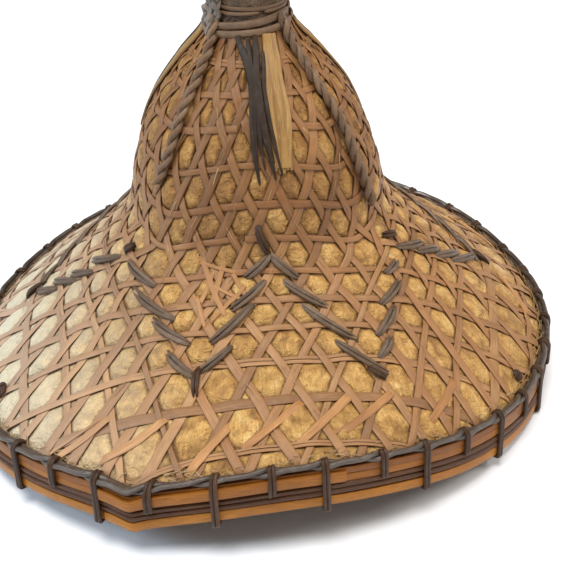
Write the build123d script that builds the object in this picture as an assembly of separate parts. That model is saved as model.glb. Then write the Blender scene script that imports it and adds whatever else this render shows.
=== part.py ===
from build123d import *
import math
import os
import random

import numpy as np

"""Woven bamboo conical hat: waisted crown, wide brim, bound rim, crown ribs, stitched zigzag.

Frame: millimetres, +Z up towards the tip, -Y is the front of the hat. The origin is on the
hat's axis in the plane the rim rests on. Azimuth 0 is the front and + is the wearer's left,
+X. "arc" is the distance down the meridian of the leaf's upper face, from the neck.
"""

os.makedirs("parts", exist_ok=True)

# ---------------------------------------------------------------- leaf lining
# upper face as (radius, height), from the neck down to the brim's edge
PROFILE = [(18.6, 296.0), (19.0, 283.5), (20.0, 262.5), (30.5, 241.5), (49.5, 220.5),
           (64.2, 199.5), (73.8, 178.5), (79.0, 157.5), (83.2, 136.5), (87.8, 120.8),
           (99.5, 106.0), (118.0, 90.0), (141.0, 71.6), (167.0, 53.2), (190.0, 37.9)]
LEAF_T = 0.8
NECK_TOP_Z = 292.0           # upper edge of the leaf, inside the tip binding
WAIST_Z = 119.0              # joint between the crown's leaf and the brim's
WAIST_GAP = 0.4
BRIM_SLOPE = 0.70            # fall per radius between the profile's end and the fold
FOLD_ANGLE = math.radians(54.5)
RIM_FOLD_R = 9.0             # fold where the brim turns down into the rim
RIM_SHEET_R = 202.4          # leaf radius where it hangs between the hoops
SHEET_BOTTOM_Z = 4.0         # where the meridian ends inside the rim
END_TRIM = 0.5               # leaf and weave stop this short of the meridian's end

# ---------------------------------------------------------------- weave
STRIP_T = 0.55
DIAGONAL_W = 6.0
ROW_W = 4.8
STRIP_FILL = 0.62            # widest strip as a share of the spacing of the diagonals
INTERLACE = 0.5              # rise and fall of a strip about the weave's mid-surface
WEAVE_CLEAR = 1.15           # from a face of the leaf to a weave's mid-surface
OUTER_MID = WEAVE_CLEAR
INNER_MID = -(LEAF_T + WEAVE_CLEAR)
CROWN_TOP_Z = 250.0          # where the strips tuck under the neck binding
SECTORS = 4
SECTOR_STRIPS = 6            # diagonals of each hand in a sector
WEAVE_TURNS = SECTORS * SECTOR_STRIPS
SECTOR_ANGLE = 360 / SECTORS
DIAGONAL_ANGLE = 360 / WEAVE_TURNS
PATH_STEP = 3.2              # sample spacing of a strip's centre line
FINE_STEP = 1.5              # sample spacing while a line is smoothed
SMOOTH_SPAN = 9              # samples each side that a smoothed point averages
ON_TOP = OUTER_MID + INTERLACE + STRIP_T / 2 + 0.25     # just clear of the outer strips

# ---------------------------------------------------------------- rim
HOOP_IN_R = 204.7            # inner face of the outer hoops
HOOP_T = 3.6
HOOP_OUT_R = HOOP_IN_R + HOOP_T
LOWER_HOOP_Z = (0.0, 7.4)
UPPER_HOOP_Z = (16.4, 27.0)
SPLICE_AZIM = (-27, 15)
INNER_HOOP = (196.2, 198.6, 3.6, 24.0)   # r in, r out, z low, z high
MID_CANE_R = 2.1
MID_CANE_Z = (9.65, 14.05)   # the two canes between the hoops
EDGE_CANE_R = 3.0            # the cane along the brim's edge
EDGE_R, EDGE_Z = 206.9, 30.35
LASH_R = 1.5
LASH_COUNT = 18              # long lashings, with a short one between each two
LASH_START = -10.5           # azimuth of the first long lashing
LASH_CORNER = 2.2            # size of a lashing's rounded corners
LASH_NOTCH = (12, 4.4, 8)    # radial, tangential and upright size of its cutter
LASH_NOTCH_TOP = 3.4

# ---------------------------------------------------------------- stitches and side knots
STITCH_R = 1.9
STITCH_PITCH = 17.0
STITCH_LIFT = ON_TOP + STITCH_R + 0.3
# azimuth and height of each turn of the zigzag, upper and lower by turns
ZIGZAG = [(3, 123), (-17, 67), (-60, 105), (-90, 62), (-120, 110), (-150, 65),
          (180, 110), (150, 65), (120, 110), (92, 62), (63, 105), (29, 64)]
SIDE_KNOT_AZIM = (-63.0, 62.0)
SIDE_KNOT_R = 190.5          # distance from the hat's axis

# ---------------------------------------------------------------- crown ribs
# azimuth at the top, azimuth at the foot, height of the foot
WRAPPED_RIBS = [(-48.36, -55.12, 158), (51.15, 58.3, 134), (180, 180, 140)]
WRAPPED_TOP_Z = 247.5
RIB_CORE_R = 2.2
RIB_WRAP_T = 1.3
RIB_BORE_GAP = 0.05          # between core and wrapping
SLAT_RIBS = (6.0, 118.0, -118.0)
SLAT_Z = (247.0, 170.0)
SLAT_W = (8.0, 13.0)         # at the top and at the foot
SLAT_T = 1.8
SIDE_CANE_R = 2.0
# azimuths from the rib's at top and foot, then heights of top and foot
SIDE_CANES = [(-6.0, -5.0, *SLAT_Z), (0.0, 0.2, 220.0, 174.0)]

# ---------------------------------------------------------------- neck and tip
NECK_OFFSET = 2.3            # surface the neck binding lies on, above the leaf
NECK_WRAP_Z = (256.0, 259.4, 262.8)
BIND_R = 1.6                 # cane of the neck and tip wraps
TIP_WRAP_Z = (280.0, 283.5, 287.0)
NECK_KNOTS = [(-58, 253), (-76, 262)]    # azimuth, height

# ---------------------------------------------------------------- head ring
HEAD_RING = (86.8, 90.4, 89.0, 110.0)    # r in, r out, z low, z high
HEAD_TIES = 8
TIE_R = 0.95
TIE_NOTCH = (3.0, 2.6)       # width and depth of the notch that keeps a tie clear of the head


# ---------------------------------------------------------------- meridian of the hat
def catmull_rom(points):
    """A smooth curve through the points, sampled about every millimetre."""
    out = []
    for i in range(len(points) - 1):
        start, end = points[i], points[i + 1]
        before = points[max(i - 1, 0)]
        after = points[min(i + 2, len(points) - 1)]
        count = max(2, int(math.dist(start, end)))
        for j in range(count):
            t = j / count
            out.append(tuple(
                0.5 * (2 * b + (c - a) * t + (2 * a - 5 * b + 4 * c - d) * t * t
                       + (3 * b - a - 3 * c + d) * t ** 3)
                for a, b, c, d in zip(before, start, end, after)))
    out.append(points[-1])
    return out


def meridian():
    """Arc, radius, height and the outward normal's two parts, along the leaf's upper face."""
    points = catmull_rom(PROFILE)
    last_r, last_z = PROFILE[-1]
    centre_r = RIM_SHEET_R - RIM_FOLD_R
    fold_r = centre_r + RIM_FOLD_R * math.cos(FOLD_ANGLE)
    fold_z = last_z - (fold_r - last_r) * BRIM_SLOPE
    centre_z = fold_z - RIM_FOLD_R * math.sin(FOLD_ANGLE)
    run = (fold_r - last_r) / 4
    for _ in range(3):
        points.append((points[-1][0] + run, points[-1][1] - run * BRIM_SLOPE))
    for j in range(12):
        angle = FOLD_ANGLE * (1 - j / 11)
        points.append((centre_r + RIM_FOLD_R * math.cos(angle),
                       centre_z + RIM_FOLD_R * math.sin(angle)))
    z = centre_z - 1.0
    while z > SHEET_BOTTOM_Z:
        points.append((RIM_SHEET_R, z))
        z -= 1.0
    points.append((RIM_SHEET_R, SHEET_BOTTOM_Z))

    curve = np.array([p for p in points if p[1] <= NECK_TOP_Z])
    arc = np.concatenate([[0], np.cumsum(np.hypot(*np.diff(curve, axis=0).T))])
    tangent = np.gradient(curve, arc, axis=0)
    tangent /= np.linalg.norm(tangent, axis=1)[:, None]
    kernel = np.ones(5) / 5
    normal_r = np.convolve(np.pad(-tangent[:, 1], 2, mode="edge"), kernel, "valid")
    normal_z = np.convolve(np.pad(tangent[:, 0], 2, mode="edge"), kernel, "valid")
    size = np.hypot(normal_r, normal_z)
    return arc, curve[:, 0], curve[:, 1], normal_r / size, normal_z / size


MER_ARC, MER_R, MER_Z, MER_NR, MER_NZ = meridian()
ARC_END = MER_ARC[-1]
WEAVE_END = ARC_END - END_TRIM


def on_curve(arc, offset=0.0):
    """Radius and height at an arc, offset outwards from the leaf."""
    radius = np.interp(arc, MER_ARC, MER_R) + offset * np.interp(arc, MER_ARC, MER_NR)
    z = np.interp(arc, MER_ARC, MER_Z) + offset * np.interp(arc, MER_ARC, MER_NZ)
    return radius, z


def arc_at_z(z):
    return float(np.interp(-z, -MER_Z, MER_ARC))


def arc_at_r(radius):
    """Arc at a radius, looked up below the neck, where the radius only grows."""
    i = int(np.argmax(MER_Z < 200))
    return float(np.interp(radius, MER_R[i:], MER_ARC[i:]))


def radius_at_z(z, offset=0.0):
    return float(on_curve(arc_at_z(z), offset)[0])


def polar(radius, azim, z):
    return np.stack([radius * np.sin(azim), -radius * np.cos(azim), z], -1)


def place(arc, azim, offset):
    radius, z = on_curve(arc, offset)
    return polar(radius, azim, z)


def place_z(azim, z, offset):
    """The point at an azimuth in degrees and a height on the leaf, then offset."""
    return place(arc_at_z(z), math.radians(azim), offset)


def normal_at(arc, azim):
    return polar(np.interp(arc, MER_ARC, MER_NR), azim, np.interp(arc, MER_ARC, MER_NZ))


def wrap_angle(angle):
    return (angle + 180) % 360 - 180


# ---------------------------------------------------------------- layout of the hexagonal weave
# Rows are numbered down the hat. The crown is a tube with 24 diagonals each way. The brim is
# a flat hexagonal sheet of four 60 degree sectors, in units of the row spacing.
BRIM_ROW = 6                 # row number where the crown's layout meets the brim's
FLAT_PITCH = 2 / math.sqrt(3)    # spacing of the diagonals along a flat row
SIN_60 = 0.8660254
FLAT_REACH = 16              # how far lines run across the flat sheet before they are cut
ROW_NUMBERS = np.append(np.arange(-1.5, 12), 12.7)
ROW_ARCS = np.array(
    [arc_at_z(z) for z in (262.0, 245.5, 230.0, 215.5, 198.5, 177.5, 155.0, 133.5)]
    + [arc_at_r(radius) for radius in (92.0, 105.5, 121.0, 138.5, 161.5, 190.0)]
    + [ARC_END + 6.0])
BEYOND_ROWS = 12.0           # arc per row past the ends of the table


def arc_of_row(row):
    """Arc at a row number, by a monotone cubic through the rows."""
    wanted = np.asarray(row, float)
    row = np.clip(wanted, ROW_NUMBERS[0], ROW_NUMBERS[-1])
    gap = np.diff(ROW_NUMBERS)
    rate = np.diff(ROW_ARCS) / np.diff(ROW_NUMBERS)
    slope = np.concatenate([[rate[0]], 2 * rate[:-1] * rate[1:] / (rate[:-1] + rate[1:]),
                            [rate[-1]]])
    i = np.clip(np.searchsorted(ROW_NUMBERS, row) - 1, 0, len(gap) - 1)
    t = (row - ROW_NUMBERS[i]) / gap[i]
    arc = (ROW_ARCS[i] * (1 + 2 * t) * (1 - t) ** 2 + ROW_ARCS[i + 1] * t * t * (3 - 2 * t)
           + slope[i] * gap[i] * t * (1 - t) ** 2 + slope[i + 1] * gap[i] * t * t * (t - 1))
    return arc + (wanted - row) * BEYOND_ROWS


def droop(row, azim):
    """Rows run straight across each quarter of the hat, so they lie lower at its corners."""
    t = np.abs((np.degrees(azim) / SECTOR_ANGLE + 0.5) % 1.0 * 2 - 1)
    t = t - np.maximum(t - 0.8, 0) ** 2 / 0.4
    return row + np.maximum(row, 0) * (np.sqrt(1 + t * t / 3) - 1)


def brim_map(x, y, sector):
    """A point of the flat sheet, x along and y away from the sector's rows, to arc, azimuth."""
    reach = np.hypot(x, y)
    angle = np.degrees(np.arctan2(x, y))
    step = np.round(angle / 60.0)
    local = np.radians(angle - 60.0 * step)
    blend = np.clip((reach * np.cos(local) - 6.3) / 2.6, 0, 1)
    blend = blend * blend * (3 - 2 * blend)
    across = ((1 - blend) * np.tan(local) / math.tan(math.pi / 6)
              + blend * local / (math.pi / 6))
    azim = np.radians(SECTOR_ANGLE * (sector + step) + SECTOR_ANGLE / 2 * across)
    return arc_of_row(reach), azim + 0.03 * blend * np.sin(4 * azim)


def smooth(values):
    weights = np.hanning(2 * SMOOTH_SPAN + 3)[1:-1]
    weights /= weights.sum()
    padded = np.pad(values, SMOOTH_SPAN, mode="reflect", reflect_type="odd")
    return np.convolve(padded, weights, "valid")


def resample(arc, azim, step):
    """The line at even spacing, as arc, azimuth and distance along."""
    points = place(arc, azim, 0.0)
    length = np.concatenate([[0], np.cumsum(np.linalg.norm(np.diff(points, axis=0), axis=1))])
    count = max(4, int(round(length[-1] / step)) + 1)
    along = np.linspace(0, length[-1], count)
    return np.interp(along, length, arc), np.interp(along, length, azim), along


def eased(arc, azim):
    """The line smoothed, resampled and kept above the weave's lower edge."""
    arc, azim, _ = resample(arc, azim, FINE_STEP)
    arc, azim, along = resample(smooth(arc), smooth(azim), PATH_STEP)
    return np.minimum(arc, WEAVE_END), azim, along


def diagonal_line(sector, index, hand):
    """A diagonal from neck to rim. Hand 1 rises towards + azimuth, -1 towards - azimuth."""
    column = index - (SECTOR_STRIPS - 1) / 2
    walk = np.linspace(0, FLAT_REACH, 321)
    arc, azim = brim_map(column * FLAT_PITCH - hand * 0.5 * walk,
                         BRIM_ROW + SIN_60 * walk, sector)
    stop = int(np.argmax(arc >= WEAVE_END)) + 1
    row = np.linspace(-0.9, BRIM_ROW, 140)[:-1]
    joint = math.radians(SECTOR_ANGLE * sector + DIAGONAL_ANGLE * column)
    crown_azim = joint + hand * np.radians(DIAGONAL_ANGLE / 2) * (BRIM_ROW - row)
    arc = np.concatenate([arc_of_row(droop(row, crown_azim)), arc[:stop]])
    azim = np.concatenate([crown_azim, azim[:stop]])
    keep = arc >= arc_at_z(CROWN_TOP_Z)
    return eased(arc[keep], azim[keep])


def crown_row(row):
    """A row right round the crown, from a random start to just short of it."""
    start = random.Random(row).uniform(0, 6.28)
    azim = start + np.radians(np.linspace(0, 358.5, 240))
    return resample(arc_of_row(droop(row, azim)), azim, PATH_STEP)


def brim_row(sector, row):
    x = np.linspace(-FLAT_REACH, FLAT_REACH, 641)
    arc, azim = brim_map(x, np.full(641, row), sector)
    inside = np.where(arc < WEAVE_END)[0]
    kept = slice(inside[0], inside[-1] + 1)
    return eased(arc[kept], azim[kept])


def weave_paths(turn):
    """Strip centre lines as (kind, arc, azimuth, distance along)."""
    lines = []
    for sector in range(SECTORS):
        for index in range(SECTOR_STRIPS):
            lines.append(("right", diagonal_line(sector, index, 1)))
            lines.append(("left", diagonal_line(sector, index, -1)))
    for i in range(6):
        lines.append(("row", crown_row(i + 0.5)))
    for sector in range(SECTORS):
        for i in range(6, 12):
            lines.append(("row", brim_row(sector, i + 0.5)))
    return [(kind, arc, azim + turn, along) for kind, (arc, azim, along) in lines]


def lies_over(slope, other):
    """Rows lie over right diagonals, right over left, and left over rows."""
    def strip_class(angle):
        # 0 along a row, 1 rising towards + azimuth, 2 rising towards - azimuth
        return 0 if abs(angle) < 30 else (1 if angle < 0 else 2)
    first, second = strip_class(slope), strip_class(other)
    if first == second:
        return abs(slope) < abs(other) if first == 0 else abs(slope) > abs(other)
    return (second - first) % 3 == 1


def crossings(paths):
    """For each path, its crossings as (distance along, +1 over or -1 under)."""
    flat, slopes = [], []
    for _, arc, azim, _ in paths:
        # the hat unrolled on a plane, and each line's slope folded to a half turn
        flat.append(np.stack([(arc + 20) * np.sin(azim), -(arc + 20) * np.cos(azim)], -1))
        angle = np.degrees(np.arctan2(np.gradient(arc), np.gradient(azim) * on_curve(arc)[0]))
        slopes.append((angle + 90) % 180 - 90)
    found = [[] for _ in paths]

    def along_at(path, k, part):
        along = paths[path][3]
        return float(along[k] + part * (along[k + 1] - along[k]))

    for i in range(len(paths)):
        a, b = flat[i][:-1], np.diff(flat[i], axis=0)
        for j in range(i + 1, len(paths)):
            if ((flat[i].max(0) < flat[j].min(0)).any()
                    or (flat[j].max(0) < flat[i].min(0)).any()):
                continue
            # where segment a + t b of one path meets c + u d of the other
            c, d = flat[j][:-1], np.diff(flat[j], axis=0)
            cross = b[:, None, 0] * d[None, :, 1] - b[:, None, 1] * d[None, :, 0]
            w = c[None] - a[:, None]
            with np.errstate(divide="ignore", invalid="ignore"):
                t = (w[..., 0] * d[None, :, 1] - w[..., 1] * d[None, :, 0]) / cross
                u = (w[..., 0] * b[:, None, 1] - w[..., 1] * b[:, None, 0]) / cross
            for x, y in np.argwhere((t >= 0) & (t < 1) & (u >= 0) & (u < 1)):
                side = 1 if lies_over(slopes[i][x], slopes[j][y]) else -1
                found[i].append((along_at(i, x, t[x, y]), side))
                found[j].append((along_at(j, y, u[x, y]), -side))
    return [sorted(hits) for hits in found]


def rise(along, hits):
    """Height of a strip about the mid-surface, -1 to 1, along its length."""
    if not hits:
        return np.zeros_like(along)
    kept = [hits[0]]
    for hit in hits[1:]:
        if hit[0] - kept[-1][0] > 2.0:
            kept.append(hit)
    spots = np.array([hit[0] for hit in kept])
    sides = np.array([float(hit[1]) for hit in kept])
    if len(spots) == 1:
        return np.full_like(along, sides[0])
    i = np.clip(np.searchsorted(spots, along) - 1, 0, len(spots) - 2)
    gap = spots[i + 1] - spots[i]
    level = np.minimum(3.4, 0.3 * gap)
    t = np.clip((along - spots[i] - level) / np.maximum(gap - 2 * level, 1e-6), 0, 1)
    t = t * t * (3 - 2 * t)
    return sides[i] * (1 - t) + sides[i + 1] * t


def stations(along, hits):
    """Distances along a strip that carry its wave: both sides of each crossing."""
    marks = [along[0], along[-1]]
    for spot, _ in hits:
        marks += [spot - 2.5, spot + 2.5]
    marks = sorted(x for x in marks if along[0] <= x <= along[-1])
    out = [marks[0]]
    for x in marks[1:]:
        if x - out[-1] < 2.2:
            if x == marks[-1]:
                out[-1] = x
            continue
        count = int((x - out[-1]) // 10) + 1
        out += [out[-1] + (x - out[-1]) * j / count for j in range(1, count + 1)]
    return np.array(out)


# ---------------------------------------------------------------- solid helpers
def vec(point):
    return Vector(*(float(x) for x in point))


def ribbon(arc, azim, offset, width, thick):
    """A thin strip lying on the hat, from its centre line."""
    centre = place(arc, azim, 0.0)
    normal = normal_at(arc, azim)
    side = np.cross(np.gradient(centre, axis=0), normal)
    side /= np.linalg.norm(side, axis=1)[:, None]
    half = width[:, None] / 2
    low, high = (offset - thick / 2)[:, None], (offset + thick / 2)[:, None]
    rails = [[vec(p) for p in centre + sign * side * half + normal * level]
             for sign, level in ((1, low), (1, high), (-1, high), (-1, low))]
    edges = [Edge.make_spline(rail) for rail in rails]
    faces = [Face.make_surface_from_curves(edges[i], edges[(i + 1) % 4]) for i in range(4)]
    for end in (0, -1):
        corners = [rail[end] for rail in rails]
        faces.append(Face.make_surface_from_curves(Edge.make_line(corners[0], corners[1]),
                                                   Edge.make_line(corners[3], corners[2])))
    return Solid(Shell(faces))


def turned(points):
    """The polygon of (radius, height) points, revolved about the hat's axis."""
    face = Face(Wire.make_polygon([Vector(x, 0, z) for x, z in points], close=True))
    return revolve(face, Axis.Z, 360).solid()


def band(r_in, r_out, z_low, z_high, start=90, end=450):
    """A hoop of rectangular section with its outer edges eased, between two azimuths."""
    ease = min(0.6, (r_out - r_in) * 0.25)
    points = [(r_in, z_low), (r_out - ease, z_low), (r_out, z_low + ease),
              (r_out, z_high - ease), (r_out - ease, z_high), (r_in, z_high)]
    face = Face(Wire.make_polygon([Vector(x, 0, z) for x, z in points], close=True))
    return revolve(face.rotate(Axis.Z, start - 90), Axis.Z, end - start).solid()


def round_hoop(radius, z, tube):
    return Solid.make_torus(radius, tube, Plane(origin=(0, 0, z), z_dir=(0, 0, 1)))


def cane(points, radius, closed=False, bore=None):
    """A round cane, or a tube if it has a bore, along a smooth curve through the points."""
    path = Edge.make_spline([vec(p) for p in points], periodic=closed)
    plane = Plane(origin=path @ 0, z_dir=path % 0)
    holes = [Wire(Edge.make_circle(bore, plane))] if bore else None
    return sweep(Face(Wire(Edge.make_circle(radius, plane)), holes), path=path).solid()


def cane_loop(profile, azim, radius):
    """A closed cane through (radius, height) points in the upright plane at an azimuth."""
    points = [polar(x, math.radians(azim), z) for x, z in profile]
    return cane(points, radius, closed=True)


def capsule(start, end, radius):
    """A short stitch of cane with rounded ends."""
    start, end = vec(start), vec(end)
    run = end - start
    body = Solid.make_cylinder(radius, run.length, Plane(origin=start, z_dir=run))
    caps = [Solid.make_sphere(radius, Plane(origin=p)) for p in (start, end)]
    return body.fuse(*caps).solid()


def save(name, solids):
    shape = Compound(children=solids) if isinstance(solids, list) else solids
    export_step(shape, f"parts/{name}.step")


# ---------------------------------------------------------------- woven layers and leaf
def weave(prefix, mid, turn):
    paths = weave_paths(turn)
    groups = {"row": [], "right": [], "left": []}
    for (kind, arc, azim, along), hits in zip(paths, crossings(paths)):
        spots = stations(along, hits)
        arc, azim = np.interp(spots, along, arc), np.interp(spots, along, azim)
        widest = 2 * math.pi * on_curve(arc)[0] / WEAVE_TURNS * STRIP_FILL
        width = np.minimum(ROW_W if kind == "row" else DIAGONAL_W, widest)
        offset = mid + INTERLACE * rise(spots, hits)
        groups[kind].append(ribbon(arc, azim, offset, width, STRIP_T))
    save(prefix + "_rows", groups["row"])
    save(prefix + "_right_strips", groups["right"])
    save(prefix + "_left_strips", groups["left"])


def leaf(start, end):
    """The leaf lining between two arcs, a closed sheet of revolution."""
    arcs = np.linspace(start, end, max(8, int((end - start) / 4)))
    upper, lower = [
        Edge.make_spline([Vector(float(x), 0, float(z)) for x, z in zip(*on_curve(at, offset))])
        for at, offset in ((arcs, 0.0), (arcs[::-1], -LEAF_T))]
    wire = Wire([upper, Edge.make_line(upper @ 1, lower @ 0),
                 lower, Edge.make_line(lower @ 1, upper @ 0)])
    return revolve(Face(wire), Axis.Z, 360).solid()


weave("outer_weave", OUTER_MID, 0.0)
weave("inner_weave", INNER_MID, math.radians(DIAGONAL_ANGLE / 2))

waist = arc_at_z(WAIST_Z)
save("leaf_lining_crown", leaf(END_TRIM, waist - WAIST_GAP / 2))
save("leaf_lining_brim", leaf(waist + WAIST_GAP / 2, WEAVE_END))

# ---------------------------------------------------------------- rim
LASH_PITCH = 360 / LASH_COUNT
long_azims = [wrap_angle(LASH_PITCH * k + LASH_START) for k in range(LASH_COUNT)]
short_azims = [wrap_angle(azim + LASH_PITCH / 2) for azim in long_azims]


def lower_hoop():
    """The lower hoop, notched underneath so the long lashings pass under it."""
    hoop = band(HOOP_IN_R, HOOP_OUT_R, *LOWER_HOOP_Z)
    for azim in long_azims:
        notch = Box(*LASH_NOTCH, align=(Align.CENTER, Align.CENTER, Align.MAX))
        notch = notch.translate((HOOP_IN_R + 2, 0, LASH_NOTCH_TOP))
        hoop = hoop - notch.rotate(Axis.Z, azim - 90)
    return hoop.solid()


def rounded(corners, radius):
    """Points along a closed polygon with its corners rounded, for a tight lashing."""
    out = []
    count = len(corners)
    for i in range(count):
        before, corner, after = (np.array(corners[(i + k) % count], float) for k in (-1, 0, 1))
        back, ahead = before - corner, after - corner
        back_len, ahead_len = np.linalg.norm(back), np.linalg.norm(ahead)
        cut = min(radius, 0.45 * back_len, 0.45 * ahead_len)
        start, end = corner + back / back_len * cut, corner + ahead / ahead_len * cut
        out += [(1 - t) ** 2 * start + 2 * t * (1 - t) * corner + t * t * end
                for t in (0.0, 0.5, 1.0)]
        gap = ahead_len - cut - min(radius, 0.45 * ahead_len)
        if gap > 5:
            out += [end + ahead / ahead_len * gap * t for t in (0.33, 0.67)]
    return out


def lashing(azim, low):
    """A lashing round the rim, its lowest run centred at height low."""
    over_splice = SPLICE_AZIM[0] - 1 < azim < SPLICE_AZIM[1] + 1
    outer = HOOP_OUT_R + (2.4 if over_splice else 0.3) + LASH_R
    inner = INNER_HOOP[0] - LASH_R - 0.3
    corners = [(outer, low), (outer, EDGE_Z - 3.0),
               (EDGE_R + EDGE_CANE_R + LASH_R + 0.2, EDGE_Z + 1.5),
               (EDGE_R - 1.5, EDGE_Z + EDGE_CANE_R + LASH_R + 0.4),
               (EDGE_R - 8, 37.0), (inner, 36.5), (inner, low)]
    return cane_loop(rounded(corners, LASH_CORNER), azim, LASH_R)


save("lower_rim_hoop", lower_hoop())
save("upper_rim_hoop", band(HOOP_IN_R, HOOP_OUT_R, *UPPER_HOOP_Z))
save("rim_hoop_splice", band(HOOP_OUT_R + 0.2, HOOP_OUT_R + 2.2, UPPER_HOOP_Z[0] + 0.8,
                             UPPER_HOOP_Z[1] - 0.8, *SPLICE_AZIM))
save("inner_rim_hoop", band(*INNER_HOOP))
save("middle_rim_canes",
     [round_hoop(HOOP_IN_R + MID_CANE_R + 0.1, z, MID_CANE_R) for z in MID_CANE_Z])
save("edge_cane", round_hoop(EDGE_R, EDGE_Z, EDGE_CANE_R))
save("long_rim_lashings", [lashing(azim, LASH_R + 0.15) for azim in long_azims])
save("short_rim_lashings",
     [lashing(azim, UPPER_HOOP_Z[0] - 0.2 - LASH_R) for azim in short_azims])


# ---------------------------------------------------------------- zigzag stitching on the brim
def zigzag_leg(azim, z, next_azim, next_z):
    """A run of stitches from one turn of the zigzag to the next."""
    swing = wrap_angle(next_azim - azim)
    start, end = arc_at_z(z), arc_at_z(next_z)
    span = np.linalg.norm(place_z(azim + swing, next_z, 0) - place_z(azim, z, 0))
    count = max(3, round(float(span) / STITCH_PITCH))
    stitches = []
    for k in range(count):
        ends = [place(start + (end - start) * part, math.radians(azim + swing * part),
                      STITCH_LIFT)
                for part in ((k + 0.08) / count, (k + 0.92) / count)]
        stitches.append(capsule(*ends, STITCH_R))
    return stitches


def end_stitch(azim, z, upper):
    """The stitch that runs on past a turn: up from an upper one, down from a lower one."""
    if upper:
        ends = (azim - 1.5, z + 6), (azim - 3, z + 19)
    else:
        ends = (azim, z - 4), (azim - 0.5, z - 13)
    return capsule(*(place_z(*end, STITCH_LIFT) for end in ends), STITCH_R * 0.8)


save("zigzag_stitches", [stitch for turn, after in zip(ZIGZAG, ZIGZAG[1:] + ZIGZAG[:1])
                         for stitch in zigzag_leg(*turn, *after)])
save("zigzag_end_stitches", [end_stitch(*turn, k % 2 == 0) for k, turn in enumerate(ZIGZAG)])


# ---------------------------------------------------------------- crown ribs
def crown_line(azim_top, azim_low, z_top, z_low, count=16):
    """Arcs and azimuths of an even line down the crown."""
    return (np.linspace(arc_at_z(z_top), arc_at_z(z_low), count),
            np.radians(np.linspace(azim_top, azim_low, count)))


def wrapped_rib(radius, bore=None):
    lift = ON_TOP + RIB_CORE_R + RIB_WRAP_T + 0.15
    return [cane(place(*crown_line(top, low, WRAPPED_TOP_Z, z_low), lift), radius, bore=bore)
            for top, low, z_low in WRAPPED_RIBS]


def slat(azim):
    """A flat slat that widens towards its foot."""
    count = 14
    arc, line = crown_line(azim + 12.0, azim + 5.5, *SLAT_Z, count)
    offset = np.full(count, ON_TOP + SLAT_T / 2 + 0.1)
    return ribbon(arc, line, offset, np.linspace(*SLAT_W, count), SLAT_T)


def side_cane(azim, top, low, z_top, z_low):
    line = crown_line(azim + top, azim + low, z_top, z_low)
    return cane(place(*line, ON_TOP + SIDE_CANE_R + 0.15), SIDE_CANE_R)


save("wrapped_rib_cores", wrapped_rib(RIB_CORE_R))
save("rib_wrapping", wrapped_rib(RIB_CORE_R + RIB_WRAP_T, RIB_CORE_R + RIB_BORE_GAP))
save("crown_slats", [slat(azim) for azim in SLAT_RIBS])
save("slat_side_canes", [side_cane(azim, *spec) for azim in SLAT_RIBS for spec in SIDE_CANES])


# ---------------------------------------------------------------- neck and tip
def neck_strap():
    """A thicker, slightly tilted ring below the neck wraps."""
    plane = Plane(origin=(0, 0, 251.3), z_dir=(-0.05, 0, 1))
    return Solid.make_torus(radius_at_z(250.5, NECK_OFFSET) + 2.6, 1.9, plane)


def tip_plug(radius):
    """The domed plug that closes the neck."""
    return turned([(0, 274), (radius - 3.0, 274), (radius - 2.0, 278), (radius - 1.2, 292.5),
                   (radius + 1.0, 293.5), (radius + 1.4, 297), (radius - 1.5, 302),
                   (radius - 7, 305.6), (radius - 13, 307), (0, 307.2)])


def neck_knot(azim, z):
    origin = place_z(azim, z, NECK_OFFSET + 7.2)
    facing = polar(1, math.radians(azim), 0.3)
    return Solid.make_torus(3.4, 1.5, Plane(origin=vec(origin), z_dir=vec(facing)))


save("neck_wraps",
     [round_hoop(radius_at_z(z, NECK_OFFSET) + 1.7, z, BIND_R) for z in NECK_WRAP_Z])
save("neck_strap", neck_strap())
collar_r = radius_at_z(275.0, 0.3)
save("neck_collar_band", band(collar_r + 0.2, collar_r + 1.6, 265.2, 288.0))
tip_r = radius_at_z(286.0) - LEAF_T      # the leaf's inner face at the tip
save("tip_plug", tip_plug(tip_r))
save("tip_wraps", [round_hoop(tip_r + 5.2, z, BIND_R) for z in TIP_WRAP_Z])
save("neck_knots", [neck_knot(*spot) for spot in NECK_KNOTS])


# ---------------------------------------------------------------- side knots near the rim
def side_knot(azim):
    """A ring lying on the brim with its middle filled."""
    arc, azim = arc_at_r(SIDE_KNOT_R), math.radians(azim)
    centre, normal = place(arc, azim, ON_TOP + 1.9), normal_at(arc, azim)
    knot = Solid.make_torus(3.5, 1.8, Plane(origin=vec(centre), z_dir=vec(normal)))
    base = Plane(origin=vec(centre - 1.2 * normal), z_dir=vec(normal))
    return knot.fuse(Solid.make_cylinder(3.2, 2.6, base)).solid()


save("side_knots", [side_knot(azim) for azim in SIDE_KNOT_AZIM])

# ---------------------------------------------------------------- head ring inside the crown
tie_azims = [360 / HEAD_TIES * (k + 0.5) for k in range(HEAD_TIES)]


def head_ring():
    """The band round the head, notched inside for its ties."""
    hoop = band(*HEAD_RING)
    width, depth = TIE_NOTCH
    for azim in tie_azims:
        notch = Box(width, 2 * depth, 40).moved(Location((0, -HEAD_RING[0], 100)))
        hoop = hoop.cut(notch.rotate(Axis.Z, azim)).solid()
    return hoop


def head_tie(azim):
    inner = HEAD_RING[0] + 0.45 + TIE_R
    outer = HEAD_RING[1] + 0.25 + TIE_R
    bottom = HEAD_RING[2]
    profile = [(inner, 104), (inner, 95), (inner + 1.1, bottom - 1.7),
               (outer - 0.3, bottom - 0.5), (outer, 94), (outer, 103), (93.8, 109.0),
               (97.4, 111.2), (95.8, 116.2), (90.4, 115.4), (inner + 0.2, 110.5)]
    return cane_loop(profile, azim, TIE_R)


save("head_ring", head_ring())
save("head_ring_ties", [head_tie(azim) for azim in tie_azims])
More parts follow.
